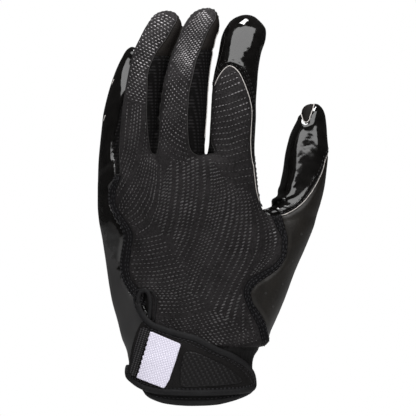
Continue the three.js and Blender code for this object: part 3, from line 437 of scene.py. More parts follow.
def tube_rows(track, tip):
    rows = [track.low + share * share * 12 for share in (0, .12, .25, .4, .55, .75, .95)] if tip else []
    start = rows[-1] + 3 if rows else track.low
    count = max(2, int((track.high - start) / 4))
    return rows + [start + (track.high - start) * i / count for i in range(count + 1)]


def placed(name, data):
    piece = bpy.data.objects.new(name, data)
    bpy.context.scene.collection.objects.link(piece)
    return piece


def to_object(bm, name):
    mesh = bpy.data.meshes.new(name)
    bm.to_mesh(mesh)
    return placed(name, mesh)


def finished(piece):
    """The mesh of a piece with its modifiers carried out, as a bmesh."""
    bpy.context.view_layer.update()
    source = piece.evaluated_get(bpy.context.evaluated_depsgraph_get()).to_mesh()
    bm = bmesh.new()
    bm.from_mesh(source)
    bpy.data.objects.remove(piece)
    return bm


def glove_form():
    bm = bmesh.new()
    for name, track in TUBES.items():
        add_tube(bm, track, tube_rows(track, name != "hand"), 64 if name == "hand" else 36)
    bmesh.ops.holes_fill(bm, edges=[edge for edge in bm.edges if edge.is_boundary], sides=0)
    bmesh.ops.recalc_face_normals(bm, faces=bm.faces)
    piece = to_object(bm, "form")
    remesh = piece.modifiers.new("skin", "REMESH")
    remesh.mode = "VOXEL"
    remesh.voxel_size = FORM_GRAIN
    form = finished(piece)
    for _ in range(FORM_SMOOTHING):
        bmesh.ops.smooth_vert(form, verts=form.verts, factor=0.5, use_axis_x=True, use_axis_y=True,
                              use_axis_z=True)
    form.normal_update()
    for vert, move in [(vert, vert.normal * FORM_GROWTH) for vert in form.verts]:
        vert.co += move
    return form


def divide(bm, label_of):
    """Splits a form's faces along every border between two labels. Returns the label of each face."""
    marks = {vert: label_of(vert.co) for vert in bm.verts}
    crossed = [edge for edge in bm.edges if marks[edge.verts[0]] != marks[edge.verts[1]]]
    faces = dict.fromkeys(face for edge in crossed for face in edge.link_faces)
    cuts = set()
    for edge in crossed:
        a, b = edge.verts
        low, high = 0.0, 1.0
        for _ in range(8):
            middle = (low + high) / 2
            if label_of(a.co.lerp(b.co, middle)) == marks[a]:
                low = middle
            else:
                high = middle
        _, vert = bmesh.utils.edge_split(edge, a, min(max(low, 0.05), 0.95))
        cuts.add(vert)
    for face in faces:
        ends = [vert for vert in face.verts if vert in cuts]
        if len(ends) == 2:
            if not any(len(set(edge.verts) & set(ends)) == 2 for edge in face.edges):
                bmesh.utils.face_split(face, *ends)
        elif len(ends) > 2:
            bmesh.ops.poke(bm, faces=[face])
    layer = bm.faces.layers.int.new("panel")
    names = sorted(set(marks.values()))
    for face in bm.faces:
        known = [marks[vert] for vert in face.verts if vert in marks]
        face[layer] = names.index(known[0] if known else label_of(face.calc_center_median()))
    bm.normal_update()
    return layer, names


def seam_runs(bm, layer, names):
    """Every seam as runs of vertices in order, under the names of the two panels that meet there."""
    pairs = {}
    for edge in bm.edges:
        if len(edge.link_faces) == 2:
            pair = tuple(sorted(names[face[layer]] for face in edge.link_faces))
            if pair[0] != pair[1]:
                pairs.setdefault(pair, []).append(edge)
    runs = []
    for pair, edges in pairs.items():
        beside = {}
        for edge in edges:
            for vert in edge.verts:
                beside.setdefault(vert, []).append(edge)
        left = set(edges)
        starts = sorted(beside, key=lambda vert: (len(beside[vert]) == 2, vert.index))
        for start in starts:
            run = [start]
            while True:
                step = next((edge for edge in beside[run[-1]] if edge in left), None)
                if step is None:
                    break
                left.discard(step)
                run.append(step.other_vert(run[-1]))
            if len(run) > 6:
                runs.append((pair, run))
    return runs


def evened(points, pitch, rounds=6):
    """A run of points with its small jags smoothed, at even distances."""
    points = [point.copy() for point in points]
    for _ in range(rounds):
        inner = [(a + 2 * b + c) / 4 for a, b, c in zip(points, points[1:], points[2:])]
        points = [points[0], *inner, points[-1]]
    reach = [0.0]
    for a, b in zip(points, points[1:]):
        reach.append(reach[-1] + (b - a).length)
    count = max(1, round(reach[-1] / pitch))
    out, k = [], 0
    for i in range(count + 1):
        want = reach[-1] * i / count
        while k < len(points) - 2 and reach[k + 1] < want:
            k += 1
        span = max(reach[k + 1] - reach[k], 1e-9)
        out.append(points[k].lerp(points[k + 1], min((want - reach[k]) / span, 1)))
    return out


# Relief of the skin: sewn-down seams, soft bands, slack film and gathers, with the height of each

FILM = ("palm", "thumb")
BANDS = ("seam_band_inner", "seam_band_outer")
OUTER_COLUMN = 128         # the film on the outer edge of the hand lies before this column
CLOTH_WAVES = 0.35 * MM
FILM_WAVES = 0.4 * MM
CROTCH_WAVES = 1.1 * MM
BACK_HEM_ROLL = 1.5 * MM
GATHER_WAVES = 0.45 * MM
INDEX_RIDGE = 0.7 * MM
LITTLE_FLAT = 2.6 * MM
SEAM_ROLL = 0.16 * MM
OUTER_SEAM_ROLL = 0.02 * MM
THUMB_SEAM_ROLL = 0.42 * MM


def bulge(value, centre, width):
    return math.exp(-((value - centre) / width) ** 2)


def slack(point, panel):
    """How far the cloth stands off the filled form at a point, from folds and pulls."""
    column, row = column_of(point.x), row_of(point.z)
    rise = CLOTH_WAVES * noise.noise(point / (22 * MM))
    if panel in FILM:
        calm = 0.25 if column < OUTER_COLUMN and row > 120 else 1
        rise += FILM_WAVES * calm * noise.noise(Vector((point.x, point.y, point.z * 0.6)) / (9 * MM))
    if panel in ("thumb", "thumb_panel", "palm", "seam_band_inner"):
        near = bulge(column, 272, 14) * bulge(row, 204, 13)
        rise += CROTCH_WAVES * near * math.sin((column * 0.35 + row) * 0.62)
    if panel in ("hand_back", "seam_band_inner", "thumb_panel") and column > 240:
        rise += BACK_HEM_ROLL * bulge(row, 340, 5.5)
    if panel == "cuff" and column > 215:
        rise += GATHER_WAVES * bulge(row, 361, 13) * math.sin(column_of(point.x + 0.5 * point.y) * 1.15)
    if panel == "palm" and row < 75 and column > 225:
        rise += INDEX_RIDGE * bulge(column, 246, 8) * bulge(row, 40, 26)
    if panel == "palm" and column < 140 and row < 110:
        below_tip = min(max((row - 47) / 9, 0), 1)
        rise -= LITTLE_FLAT * bulge(row, 66, 17) * bulge(column, 131, 9) * below_tip
    return rise


def seam_roll(panel, column):
    """Height to which a panel swells beside its seams."""
    if panel == "thumb":
        return THUMB_SEAM_ROLL * min(max((324 - column) / 12, 0), 1)
    return OUTER_SEAM_ROLL if panel == "palm" and column < OUTER_COLUMN else SEAM_ROLL


def relieve(bm, layer, names):
    """Sinks the seams and swells the panels between them."""
    lines = []
    for edge in bm.edges:
        beside = [names[face[layer]] for face in edge.link_faces]
        if len(set(beside)) == 2 and "open" not in beside:
            lines.append((edge.verts[0].co + edge.verts[1].co) / 2)
    tree = KDTree(len(lines))
    for i, place in enumerate(lines):
        tree.insert(place, i)
    tree.balance()
    moves = []
    for vert in bm.verts:
        panel = names[vert.link_faces[0][layer]]
        gap = tree.find(vert.co)[2]
        rise = slack(vert.co, panel)
        rise -= SEAM_DEPTH * math.exp(-(gap / SEAM_HALF_WIDTH) ** 2)
        rise += seam_roll(panel, column_of(vert.co.x)) * bulge(gap, 2.4 * MM, 1.3 * MM)
        if panel in BANDS:
            rise += BAND_PUFF * min(gap / (1.6 * MM), 1)
        moves.append((vert, vert.normal * rise))
    for vert, move in moves:
        vert.co += move
    bm.normal_update()
    return tree


form = glove_form()
panel_layer, panel_names = divide(form, panel_at)
runs = seam_runs(form, panel_layer, panel_names)
SEAM_TREE = relieve(form, panel_layer, panel_names)
SKIN = BVHTree.FromBMesh(form)


# Finishes

def finish_of(name, colour, roughness, gleam=0.5):
    """A named finish with its shader, colour and roughness set."""
    material = bpy.data.materials.new(name)
    material.use_nodes = True
    shader = material.node_tree.nodes["Principled BSDF"]
    shader.inputs["Base Color"].default_value = (*colour, 1)
    shader.inputs["Roughness"].default_value = roughness
    shader.inputs["Specular IOR Level"].default_value = gleam
    return material, material.node_tree, shader


def cloth_coordinates(tree, turn=(0, 0, 0)):
    place = tree.nodes.new("ShaderNodeTexCoord")
    mapping = tree.nodes.new("ShaderNodeMapping")
    mapping.inputs["Rotation"].default_value = turn
    tree.links.new(place.outputs["Object"], mapping.inputs["Vector"])
    return mapping.outputs["Vector"]


def grain(tree, where, pitch, detail=2.0):
    """Noise whose lumps are about a pitch apart."""
    node = tree.nodes.new("ShaderNodeTexNoise")
    node.inputs["Scale"].default_value = 1 / pitch
    node.inputs["Detail"].default_value = detail
    tree.links.new(where, node.inputs["Vector"])
    return node.outputs["Fac"]


def ribs(tree, where, pitch, direction, distortion=0.0):
    """Even waves across a direction, a pitch apart."""
    node = tree.nodes.new("ShaderNodeTexWave")
    node.bands_direction = direction
    node.inputs["Scale"].default_value = 0.3142 / pitch
    node.inputs["Distortion"].default_value = distortion
    tree.links.new(where, node.inputs["Vector"])
    return node.outputs["Fac"]


def blended(tree, kind, one, other, factor=1.0):
    node = tree.nodes.new("ShaderNodeMix")
    node.data_type = "RGBA"
    node.blend_type = kind
    node.inputs["Factor"].default_value = factor
    tree.links.new(one, node.inputs["A"])
    tree.links.new(other, node.inputs["B"])
    return node.outputs["Result"]


def shades(tree, value, stops):
    """Colours by a value from 0 to 1."""
    node = tree.nodes.new("ShaderNodeValToRGB")
    ramp = node.color_ramp
    while len(ramp.elements) < len(stops):
        ramp.elements.new(0.5)
    for element, (position, colour) in zip(ramp.elements, stops):
        element.position = position
        element.color = (*colour, 1)
    tree.links.new(value, node.inputs["Fac"])
    return node.outputs["Color"]


def raised(tree, shader, height, depth, strength=1.0):
    node = tree.nodes.new("ShaderNodeBump")
    node.inputs["Distance"].default_value = depth
    node.inputs["Strength"].default_value = strength
    tree.links.new(height, node.inputs["Height"])
    tree.links.new(node.outputs["Normal"], shader.inputs["Normal"])


def picked(tree, share, one, other):
    """One colour or the other by a share from 0 to 1."""
    node = tree.nodes.new("ShaderNodeMix")
    node.data_type = "RGBA"
    tree.links.new(share, node.inputs["Factor"])
    tree.links.new(one, node.inputs["A"])
    tree.links.new(other, node.inputs["B"])
    return node.outputs["Result"]


def ramped(tree, value, start, end):
    """A value turned into a share: 0 at the start, 1 at the end."""
    node = tree.nodes.new("ShaderNodeMapRange")
    node.inputs["From Min"].default_value = start
    node.inputs["From Max"].default_value = end
    tree.links.new(value, node.inputs["Value"])
    return node.outputs["Result"]


def coloured(tree, shader, value, stops):
    tree.links.new(shades(tree, value, stops), shader.inputs["Base Color"])


def height_share(tree, where, start, end):
    """A share from 0 to 1 between two heights."""
    parts = tree.nodes.new("ShaderNodeSeparateXYZ")
    tree.links.new(where, parts.inputs["Vector"])
    return ramped(tree, parts.outputs["Z"], start, end)


def times_plus(tree, value, factor, added):
    node = tree.nodes.new("ShaderNodeMath")
    node.operation = "MULTIPLY_ADD"
    node.inputs[1].default_value = factor
    tree.links.new(value, node.inputs[0])
    tree.links.new(added, node.inputs[2])
    return node.outputs["Value"]


def heel_share(tree, where):
    """1 on the rougher heel of the outer edge, whose lighter colour is a painted soft reflection, 0 on the
    glossy film, with a ragged slanting border.
    """
    parts = tree.nodes.new("ShaderNodeSeparateXYZ")
    tree.links.new(where, parts.inputs["Vector"])
    slant = times_plus(tree, parts.outputs["X"], 2.0, parts.outputs["Z"])
    ragged = times_plus(tree, grain(tree, where, 4 * MM, 4), 0.03, slant)
    return ramped(tree, ragged, 0.0115, 0.0075)


def grip_film():
    """Tacky coated film of the palm: nearly black, wet gloss, faint orange peel; rougher on the heel of the
    outer edge, with a painted soft reflection there.
    """
    material, tree, shader = finish_of("grip_film", (0.006, 0.0055, 0.0055), 0.12)
    where = cloth_coordinates(tree)
    wide = grain(tree, where, 6 * MM, 2)
    glossy = shades(tree, wide, ((0.3, (0.0022, 0.002, 0.0019)), (0.7, (0.0045, 0.0042, 0.004))))
    # Painted reflection: a lighter colour for the heel of the outer edge, standing in for a soft reflection
    # of the light; only the greater roughness there is the film's own
    heel_painted_reflection = shades(tree, wide, ((0.3, (0.0065, 0.0059, 0.0061)), (0.7, (0.0092, 0.0085, 0.0088))))
    heel = heel_share(tree, where)
    tree.links.new(picked(tree, heel, glossy, heel_painted_reflection), shader.inputs["Base Color"])
    smooth = shades(tree, wide, ((0.35, (0.06,) * 3), (0.75, (0.13,) * 3)))
    rough = shades(tree, wide, ((0.35, (0.62,) * 3), (0.75, (0.7,) * 3)))
    tree.links.new(picked(tree, heel, smooth, rough), shader.inputs["Roughness"])
    raised(tree, shader, wide, 0.35 * MM, 0.35)
    return material


def back_knit():
    """Dense dark textile with a fine uneven knit, with a painted highlight: lighter toward the fingertips,
    where the overhead light falls.
    """
    material, tree, shader = finish_of("back_knit", (0.0078, 0.007, 0.0073), 0.85, 0.1)
    where = cloth_coordinates(tree)
    knit = grain(tree, where, 0.85 * MM, 2)
    cloud = grain(tree, where, 12 * MM, 3)
    shade = blended(tree, "MIX", knit, cloud, 0.35)
    hand = shades(tree, shade, ((0.34, (0.0045, 0.004, 0.0041)), (0.5, (0.0112, 0.0101, 0.0105)),
                                (0.68, (0.022, 0.0202, 0.021))))
    # Painted highlight: the knit's colours drawn lighter for the fingertips, standing in for the overhead
    # light that falls on them
    painted_lit_tips = shades(tree, shade, ((0.34, (0.008, 0.0073, 0.0076)), (0.5, (0.021, 0.0195, 0.0202)),
                                (0.68, (0.045, 0.042, 0.0435))))
    height = height_share(tree, where, 0.15, 0.215)
    tree.links.new(picked(tree, height, hand, painted_lit_tips), shader.inputs["Base Color"])
    raised(tree, shader, knit, 0.45 * MM, 0.8)
    return material


def mesh_knit():
    """Ribbed open mesh of the finger sides: faint rows with dark cells."""
    material, tree, shader = finish_of("mesh", (0.006, 0.0055, 0.0057), 0.9, 0.06)
    where = cloth_coordinates(tree)
    rows = ribs(tree, where, 1.85 * MM, "Z", 0.8)
    posts = ribs(tree, where, 1.5 * MM, "Y", 0.6)
    cells = blended(tree, "MULTIPLY", rows, posts)
    coloured(tree, shader, cells, ((0.05, (0.0022, 0.002, 0.002)), (0.4, (0.0052, 0.0048, 0.005)),
                                   (0.95, (0.0125, 0.0118, 0.0122))))
    raised(tree, shader, cells, 0.5 * MM, 0.7)
    return material


def plain_cloth(name, colour, roughness, pitch, gleam=0.25):
    """Smooth cloth with a fine grain and a little cloudiness."""
    material, tree, shader = finish_of(name, colour, roughness, gleam)
    where = cloth_coordinates(tree)
    thread = grain(tree, where, pitch, 2)
    cloud = grain(tree, where, 9 * MM, 3)
    shade = blended(tree, "MIX", thread, cloud, 0.5)
    low = tuple(c * 0.6 for c in colour)
    high = tuple(c * 1.5 for c in colour)
    coloured(tree, shader, shade, ((0.32, low), (0.68, high)))
    raised(tree, shader, thread, 0.25 * MM, 0.5)
    return material


def white_weave():
    """Pale woven end patch, a soft lilac white."""
    material, tree, shader = finish_of("patch_weave", (0.72, 0.69, 0.8), 0.8, 0.2)
    where = cloth_coordinates(tree, turn=(0, 0.28, 0))
    weave = blended(tree, "MULTIPLY", ribs(tree, where, 1.3 * MM, "X"), ribs(tree, where, 1.3 * MM, "Z"))
    coloured(tree, shader, weave, ((0.05, (0.5, 0.48, 0.57)), (0.5, (0.68, 0.655, 0.75))))
    raised(tree, shader, weave, 0.25 * MM, 0.5)
    return material


def moulded_pad():
    """Rubber pad of the strap with slanting rows of small dots."""
    material, tree, shader = finish_of("pad_rubber", (0.0062, 0.0056, 0.0058), 0.45, 0.15)
    where = cloth_coordinates(tree, turn=(0, 0.5, 0))
    dots = blended(tree, "MULTIPLY", ribs(tree, where, 2.4 * MM, "X"), ribs(tree, where, 1.9 * MM, "Z"))
    coloured(tree, shader, dots, ((0.3, (0.0045, 0.004, 0.0042)), (0.7, (0.0075, 0.007, 0.0074))))
    raised(tree, shader, dots, 0.35 * MM, 0.6)
    return material


def ribbed_hook():
    """Dark hook tape with two crossed sets of fine ribs."""
    material, tree, shader = finish_of("hook", (0.004, 0.0038, 0.004), 0.75, 0.12)
    where = cloth_coordinates(tree, turn=(0, -0.3, 0))
    rows = blended(tree, "MULTIPLY", ribs(tree, where, 1.15 * MM, "Z"), ribs(tree, where, 1.5 * MM, "X"))
    coloured(tree, shader, rows, ((0.15, (0.006, 0.0055, 0.006)), (0.7, (0.045, 0.043, 0.045))))
    raised(tree, shader, rows, 0.6 * MM, 0.8)
    return material


def thread(name, colour, roughness=0.6, gleam=0.3):
    """Twisted sewing thread or a cut edge, with a fine ply."""
    material, tree, shader = finish_of(name, colour, roughness, gleam)
    where = cloth_coordinates(tree)
    ply = grain(tree, where, 0.5 * MM, 1)
    low = tuple(c * 0.7 for c in colour)
    high = tuple(c * 1.25 for c in colour)
    coloured(tree, shader, ply, ((0.3, low), (0.7, high)))
    raised(tree, shader, ply, 0.1 * MM, 0.4)
    return material


def raised_print():
    """Glossy raised dashes, uneven over the hand, with a painted highlight that makes them brighter toward
    the fingertips.
    """
    material, tree, shader = finish_of("raised_print", (0.02, 0.0187, 0.0195), 0.28, 0.6)
    where = cloth_coordinates(tree)
    height = height_share(tree, where, 0.14, 0.21)
    cloud = grain(tree, where, 7 * MM, 2)
    low = shades(tree, cloud, ((0.35, (0.008, 0.0074, 0.0076)), (0.65, (0.055, 0.051, 0.053))))
    # Painted highlight: much brighter dash colours for the fingertips, where the dashes catch the overhead
    # light
    high = shades(tree, cloud, ((0.3, (0.08, 0.076, 0.078)), (0.7, (0.42, 0.4, 0.41))))
    tree.links.new(picked(tree, height, low, high), shader.inputs["Base Color"])
    return material


FINISHES = {
    "grip_film": grip_film(),
    "back_knit": back_knit(),
    "band": plain_cloth("band", (0.0036, 0.0034, 0.0038), 0.75, 0.9 * MM, 0.06),
    "mesh": mesh_knit(),
    "smooth_knit": plain_cloth("smooth_knit", (0.0075, 0.0063, 0.0056), 0.7, 0.7 * MM, 0.06),
    "side_film": plain_cloth("side_film", (0.0072, 0.006, 0.0048), 0.45, 0.8 * MM, 0.22),
    "cuff_knit": plain_cloth("cuff_knit", (0.005, 0.0047, 0.0048), 0.82, 1.1 * MM, 0.1),
    "binding": plain_cloth("binding", (0.0085, 0.0083, 0.0088), 0.7, 0.8 * MM, 0.1),
    "strap_fabric": plain_cloth("strap_fabric", (0.0062, 0.0056, 0.0057), 0.7, 0.8 * MM, 0.08),
    "patch_weave": white_weave(),
    "pad_rubber": moulded_pad(),
    "hook": ribbed_hook(),
}
DARK_THREAD = thread("dark_thread", (0.007, 0.0066, 0.0068), 0.45, 0.35)
GREY_THREAD = thread("grey_thread", (0.024, 0.0235, 0.026), 0.6, 0.15)
PALE_EDGE = thread("pale_edge", (0.5, 0.47, 0.45), 0.6)
DASH_PRINT = raised_print()
FOLD_EDGE = thread("fold_edge", (0.02, 0.0185, 0.018), 0.55)


def dress(piece, slot, material=None, node=None):
    """Gives a finished piece its finish and its body, and hides the imported part of the node that it stands
    for.
    """
    piece.data.materials.clear()
    piece.data.materials.append(material or FINISHES[slot])
    for face in piece.data.polygons:
        face.use_smooth = True
    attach(piece, "root")
    if node:
        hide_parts(node)
    return piece


def thicken(piece, thickness, offset=-1.0):
    wall = piece.modifiers.new("wall", "SOLIDIFY")
    wall.thickness = thickness
    wall.offset = offset
    wall.use_rim = True
    return piece


# Panels of the glove

PANEL_SLOTS = {
    "palm": "grip_film", "thumb": "grip_film", "hand_back": "back_knit", "seam_band_outer": "band",
    "seam_band_inner": "band", "fourchette_little_ring": "mesh", "fourchette_ring_middle": "mesh",
    "fourchette_middle_index": "mesh", "tip_side_ring": "smooth_knit", "tip_side_middle": "smooth_knit",
    "thumb_patch": "smooth_knit", "thumb_panel": "side_film", "cuff": "cuff_knit",
}


def panel_piece(name):
    bm = form.copy()
    label = panel_names.index(name)
    layer = bm.faces.layers.int["panel"]
    bmesh.ops.delete(bm, geom=[face for face in bm.faces if face[layer] != label], context="FACES")
    piece = to_object(bm, name + "_cloth")
    bm.free()
    return dress(thicken(piece, WALL), PANEL_SLOTS[name], node=name)


for panel in PANEL_SLOTS:
    panel_piece(panel)


# Round trims

def swept(name, points, outward, wide, deep, sides=10, closed=False):
    """A flat round bar along points: rings square to the run, bridged, with the ends closed."""
    bm = bmesh.new()
    rings = []
    count = len(points)
    for i, point in enumerate(points):
        before = points[(i - 1) % count] if closed else points[max(i - 1, 0)]
        after = points[(i + 1) % count] if closed else points[min(i + 1, count - 1)]
        forward = (after - before).normalized()
        side = outward[i].cross(forward).normalized()
        top = forward.cross(side)
        place = Matrix((side * wide, top * deep, forward)).transposed().to_4x4()
        place.translation = point
        ring = bmesh.ops.create_circle(bm, cap_ends=False, segments=sides, radius=1, matrix=place)["verts"]
        rings.append(ring_edges(ring))
    pairs = list(zip(rings, rings[1:])) + ([(rings[-1], rings[0])] if closed else [])
    for first, second in pairs:
        bmesh.ops.bridge_loops(bm, edges=first + second)
    if not closed:
        bmesh.ops.holes_fill(bm, edges=[edge for edge in bm.edges if edge.is_boundary], sides=0)
    bmesh.ops.recalc_face_normals(bm, faces=bm.faces)
    return to_object(bm, name)


def scattered(name, template, places):
    """One mesh of a small shape repeated at places: each (point, forward, outward, sizes)."""
    shape = np.array([vert.co for vert in template.verts])
    corners = [[vert.index for vert in face.verts] for face in template.faces]
    count = len(shape)
    points = np.empty((len(places) * count, 3))
    for i, (point, forward, outward, sizes) in enumerate(places):
        side = outward.cross(forward).normalized()
        top = forward.cross(side).normalized()
        axes = np.array((forward.normalized() * sizes[0], side * sizes[1], top * sizes[2]))
        points[i * count:(i + 1) * count] = shape @ axes + np.array(point)
    mesh = bpy.data.meshes.new(name)
    mesh.from_pydata(points.tolist(), [], [[i * count + k for k in face] for i in range(len(places))
                                           for face in corners])
    return placed(name, mesh)


def grain_shape(sides, rings):
    """A small rounded grain, one unit long, wide and deep, its length along X."""
    bm = bmesh.new()
    bmesh.ops.create_uvsphere(bm, u_segments=sides, v_segments=rings, radius=0.5)
    bmesh.ops.rotate(bm, verts=bm.verts, cent=(0, 0, 0), matrix=Matrix.Rotation(math.pi / 2, 3, "Y"))
    bm.verts.index_update()
    return bm


GRAIN = grain_shape(6, 3)


def heading(points, i):
    """Way that a run goes at one of its points."""
    return points[min(i + 1, len(points) - 1)] - points[max(i - 1, 0)]


def on_skin(point, skin=None):
    place, normal, _, _ = (skin or SKIN).find_nearest(point)
    return place, normal


def met_from_front(skin, spot, depth):
    """Where a line of sight meets a skin, or else the skin's place nearest to a depth on that line."""
    column, row = spot[0], spot[1]
    place = skin.ray_cast(Vector((across(column), IN_FRONT, up(row))), INWARD)[0]
    return place or skin.find_nearest(Vector((across(column), depth, up(row))))[0]


def row_beside(points, offset):
    """Places on the skin to the side of a run: (point, forward, outward)."""
    out = []
    for i, point in enumerate(points):
        forward = heading(points, i).normalized()
        _, normal = on_skin(point)
        place, normal = on_skin(point + normal.cross(forward) * offset)
        out.append((place, forward, normal))
    return out


def toward(points, name):
    """1 or -1: the side of a run on which a panel lies."""
    votes = 0
    for sign in (1, -1):
        beside = row_beside(points[::3], sign * 1.6 * MM)
        votes += sign * sum(panel_at(place) == name for place, _, _ in beside)
    return 1 if votes >= 0 else -1


def stitches(points, offset):
    """Stitches that lie just on the skin beside a seam."""
    return [(place + normal * STITCH_LIFT, forward, normal, STITCH_SIZE)
            for place, forward, normal in row_beside(points, offset)]


# Distances of the stitch rows from the seam in millimetres
BAND_OFFSETS = (0.9, 2.2)
THUMB_OFFSETS = (1.4, 2.9)
CAP_OFFSETS = (1.3, 2.5, 3.7)
# The index fingertip is stitched where its seam rises above this pixel row
CAP_STITCH_ROW = 80


def seam_stitches():
    """Stitch rows on the two bands and on the film: (places on the bands, places on the film)."""
    band_rows, film_rows = [], []
    for pair, run in runs:
        path = evened([vert.co for vert in run], STITCH_PITCH)
        if "open" in pair or "slit" in pair or len(path) < 4:
            continue
        band = next((name for name in pair if name in BANDS), None)
        if band:
            rows, sewn, offsets = band_rows, band, BAND_OFFSETS
        elif pair in (("thumb", "thumb_panel"), ("palm", "thumb"), ("hand_back", "thumb")):
            rows, sewn, offsets = film_rows, "thumb", THUMB_OFFSETS
        elif pair == ("hand_back", "palm") and min(row_of(point.z) for point in path) < CAP_STITCH_ROW:
            rows, sewn, offsets = film_rows, "palm", CAP_OFFSETS
        else:
            continue
        side = toward(path, sewn)
        for offset in offsets:
            rows += stitches(path, side * offset * MM)
    return band_rows, film_rows


on_bands, on_film = seam_stitches()
dress(scattered("band_stitches", GRAIN, on_bands), "band", GREY_THREAD)
dress(scattered("film_stitches", GRAIN, on_film), "grip_film", DARK_THREAD)


def curved(line, steps):
    """Points on a smooth curve through the places of a line."""
    raw = [Vector((*place, 0)) if len(place) == 2 else Vector(place) for place in line]
    fine = []
    for i in range(len(raw) - 1):
        ends = [raw[max(min(i + k, len(raw) - 1), 0)] for k in (-1, 0, 1, 2)]
        fine += [bent(*ends, s / steps) for s in range(steps)]
    return fine + [raw[-1]]


def laid(name, rows, lift, wide, deep, sides=6):
    """A bar along places on the skin, raised by a lift."""
    path = [place + normal * lift for place, _, normal in rows]
    return swept(name, path, [normal for _, _, normal in rows], wide, deep, sides)


def cut_edge(name, points, side=0.0, radius=0.22 * MM):
    """A thin pale bar along points on the skin: the cut edges of film, and the painted highlights of the
    little finger's edge.
    """
    rows = row_beside(evened(points, EDGE_PITCH), side)
    return dress(laid(name, rows, 0.1 * MM, radius, radius), "grip_film", PALE_EDGE)


def traced(line):
    """Points where a line of the front view meets the skin, or passes closest to it."""
    return [met_from_front(SKIN, spot, 2 * MM) for spot in curved(line, 8)]


ARCH_EDGE = ((214.8, 86), (216.8, 80.5), (221.4, 72.6), (225.6, 68.2), (229.4, 66), (234.2, 68), (239, 72.8),
             (244.4, 83.8), (249.8, 99.8), (251.8, 112), (251, 128), (250.4, 144), (251.4, 157), (253.4, 168),
             (254.8, 180), (256.4, 192), (259, 201))
SIDE_EDGE = ((218.8, 30), (216.6, 38), (213.2, 50), (210.8, 62), (209, 76), (207.6, 92), (206.8, 108),
             (205.8, 124), (204.6, 138))
# Short pale bars on the outer edge of the little finger: painted highlights, drawn as pale edges where the
# glossy film only catches the light
GLINT_TICKS = (((111.2, 84), (112.4, 81), (113.6, 78.6)), ((103, 120.6), (103.8, 117.6), (105, 115)))
# Rolled folds of film at the root of the thumb: line and radius
CROTCH_FOLDS = ((((264.4, 211.4), (267, 208.8), (272, 208), (277.6, 209.6), (283, 212.4)), 1.15 * MM),
                (((273.4, 204.4), (275.4, 200.6), (280, 198.8), (286, 199.8)), 0.95 * MM),
                (((283, 206.4), (289, 207), (296, 203.6)), 0.7 * MM))
PERFORATIONS = ((301.4, 234), (292.6, 261), (282.4, 283.6), (265.7, 293), (273, 306))
PERFORATION_RADIUS = 0.5 * MM
PERFORATION_SIDES = 12


SHORT_RUN = 12
EDGE_SHIFT = 0.25 * MM
FOLD_SHIFT = 0.35 * MM
FOLD_WIDE = 0.22 * MM
FOLD_DEEP = 0.2 * MM
# Seams with a sewn edge: number in the name of the piece, the two panels, place among the long runs
# of that seam from the longest down
CUT_EDGES = ((5, ("thumb", "thumb_panel"), 0), (34, ("thumb", "thumb_patch"), 0))
FOLDED_EDGES = ((0, ("fourchette_middle_index", "hand_back"), 0),
                (2, ("fourchette_ring_middle", "hand_back"), 0), (15, ("hand_back", "tip_side_middle"), 0),
                (18, ("hand_back", "tip_side_ring"), 0), (19, ("hand_back", "tip_side_ring"), 1),
                (33, ("fourchette_little_ring", "hand_back"), 0))


def long_run(pair, place):
    """Points of one of a seam's long runs, counted from the longest down."""
    found = [[vert.co for vert in run] for panels, run in runs if panels == pair and len(run) > SHORT_RUN]
    return sorted(found, key=len, reverse=True)[place]


def sewn_edges():
    """Pale cut edges along the thumb's seams, and folded edges where the back meets the finger sides."""
    for number, pair, place in CUT_EDGES:
        points = long_run(pair, place)
        cut_edge("cut_edge_%d" % number, points, toward(points, "thumb") * EDGE_SHIFT)
    for number, pair, place in FOLDED_EDGES:
        points = long_run(pair, place)
        rows = row_beside(evened(points, EDGE_PITCH), toward(points, "hand_back") * FOLD_SHIFT)
        dress(laid("folded_edge_%d" % number, rows, 0.0, FOLD_WIDE, FOLD_DEEP), "back_knit", FOLD_EDGE)


def crotch_folds():
    """Rolled folds that stand a quarter of their radius above the skin."""
    for number, (line, radius) in enumerate(CROTCH_FOLDS):
        rows = row_beside(evened(traced(line), 0.8 * MM), 0.0)
        dress(laid("crotch_fold_%d" % number, rows, 0.25 * radius, radius, radius * 0.7, 10), "grip_film")


def perforation_rims():
    """A thin ring of film round each perforation of the thumb panel."""
    for number, spot in enumerate(PERFORATIONS):
        centre, normal = on_skin(traced((spot, spot))[0])
        arm = normal.orthogonal().normalized() * PERFORATION_RADIUS
        step = 2 * math.pi / PERFORATION_SIDES
        circle = [centre + normal * 0.06 * MM + Matrix.Rotation(k * step, 3, normal) @ arm
                  for k in range(PERFORATION_SIDES)]
        outward = [normal] * PERFORATION_SIDES
        rim = swept("perforation_rim_%d" % number, circle, outward, 0.2 * MM, 0.16 * MM, 6, closed=True)
        dress(rim, "side_film", FOLD_EDGE)


sewn_edges()
crotch_folds()
# Painted highlights: pale bars along the little finger's outer edge
for tick_number, tick in enumerate(GLINT_TICKS):
    cut_edge("painted_glint_tick_%d" % tick_number, traced(tick), 0.0, 0.2 * MM)
perforation_rims()
cut_edge("arch_cut_edge", traced(ARCH_EDGE))
cut_edge("side_cut_edge", traced(SIDE_EDGE), 0.0, 0.3 * MM)


# Raised dashes of the back: row pitch, dash pitch, length and width in pixels, turn from the row in degrees,
# and the guide lines between which the rows run

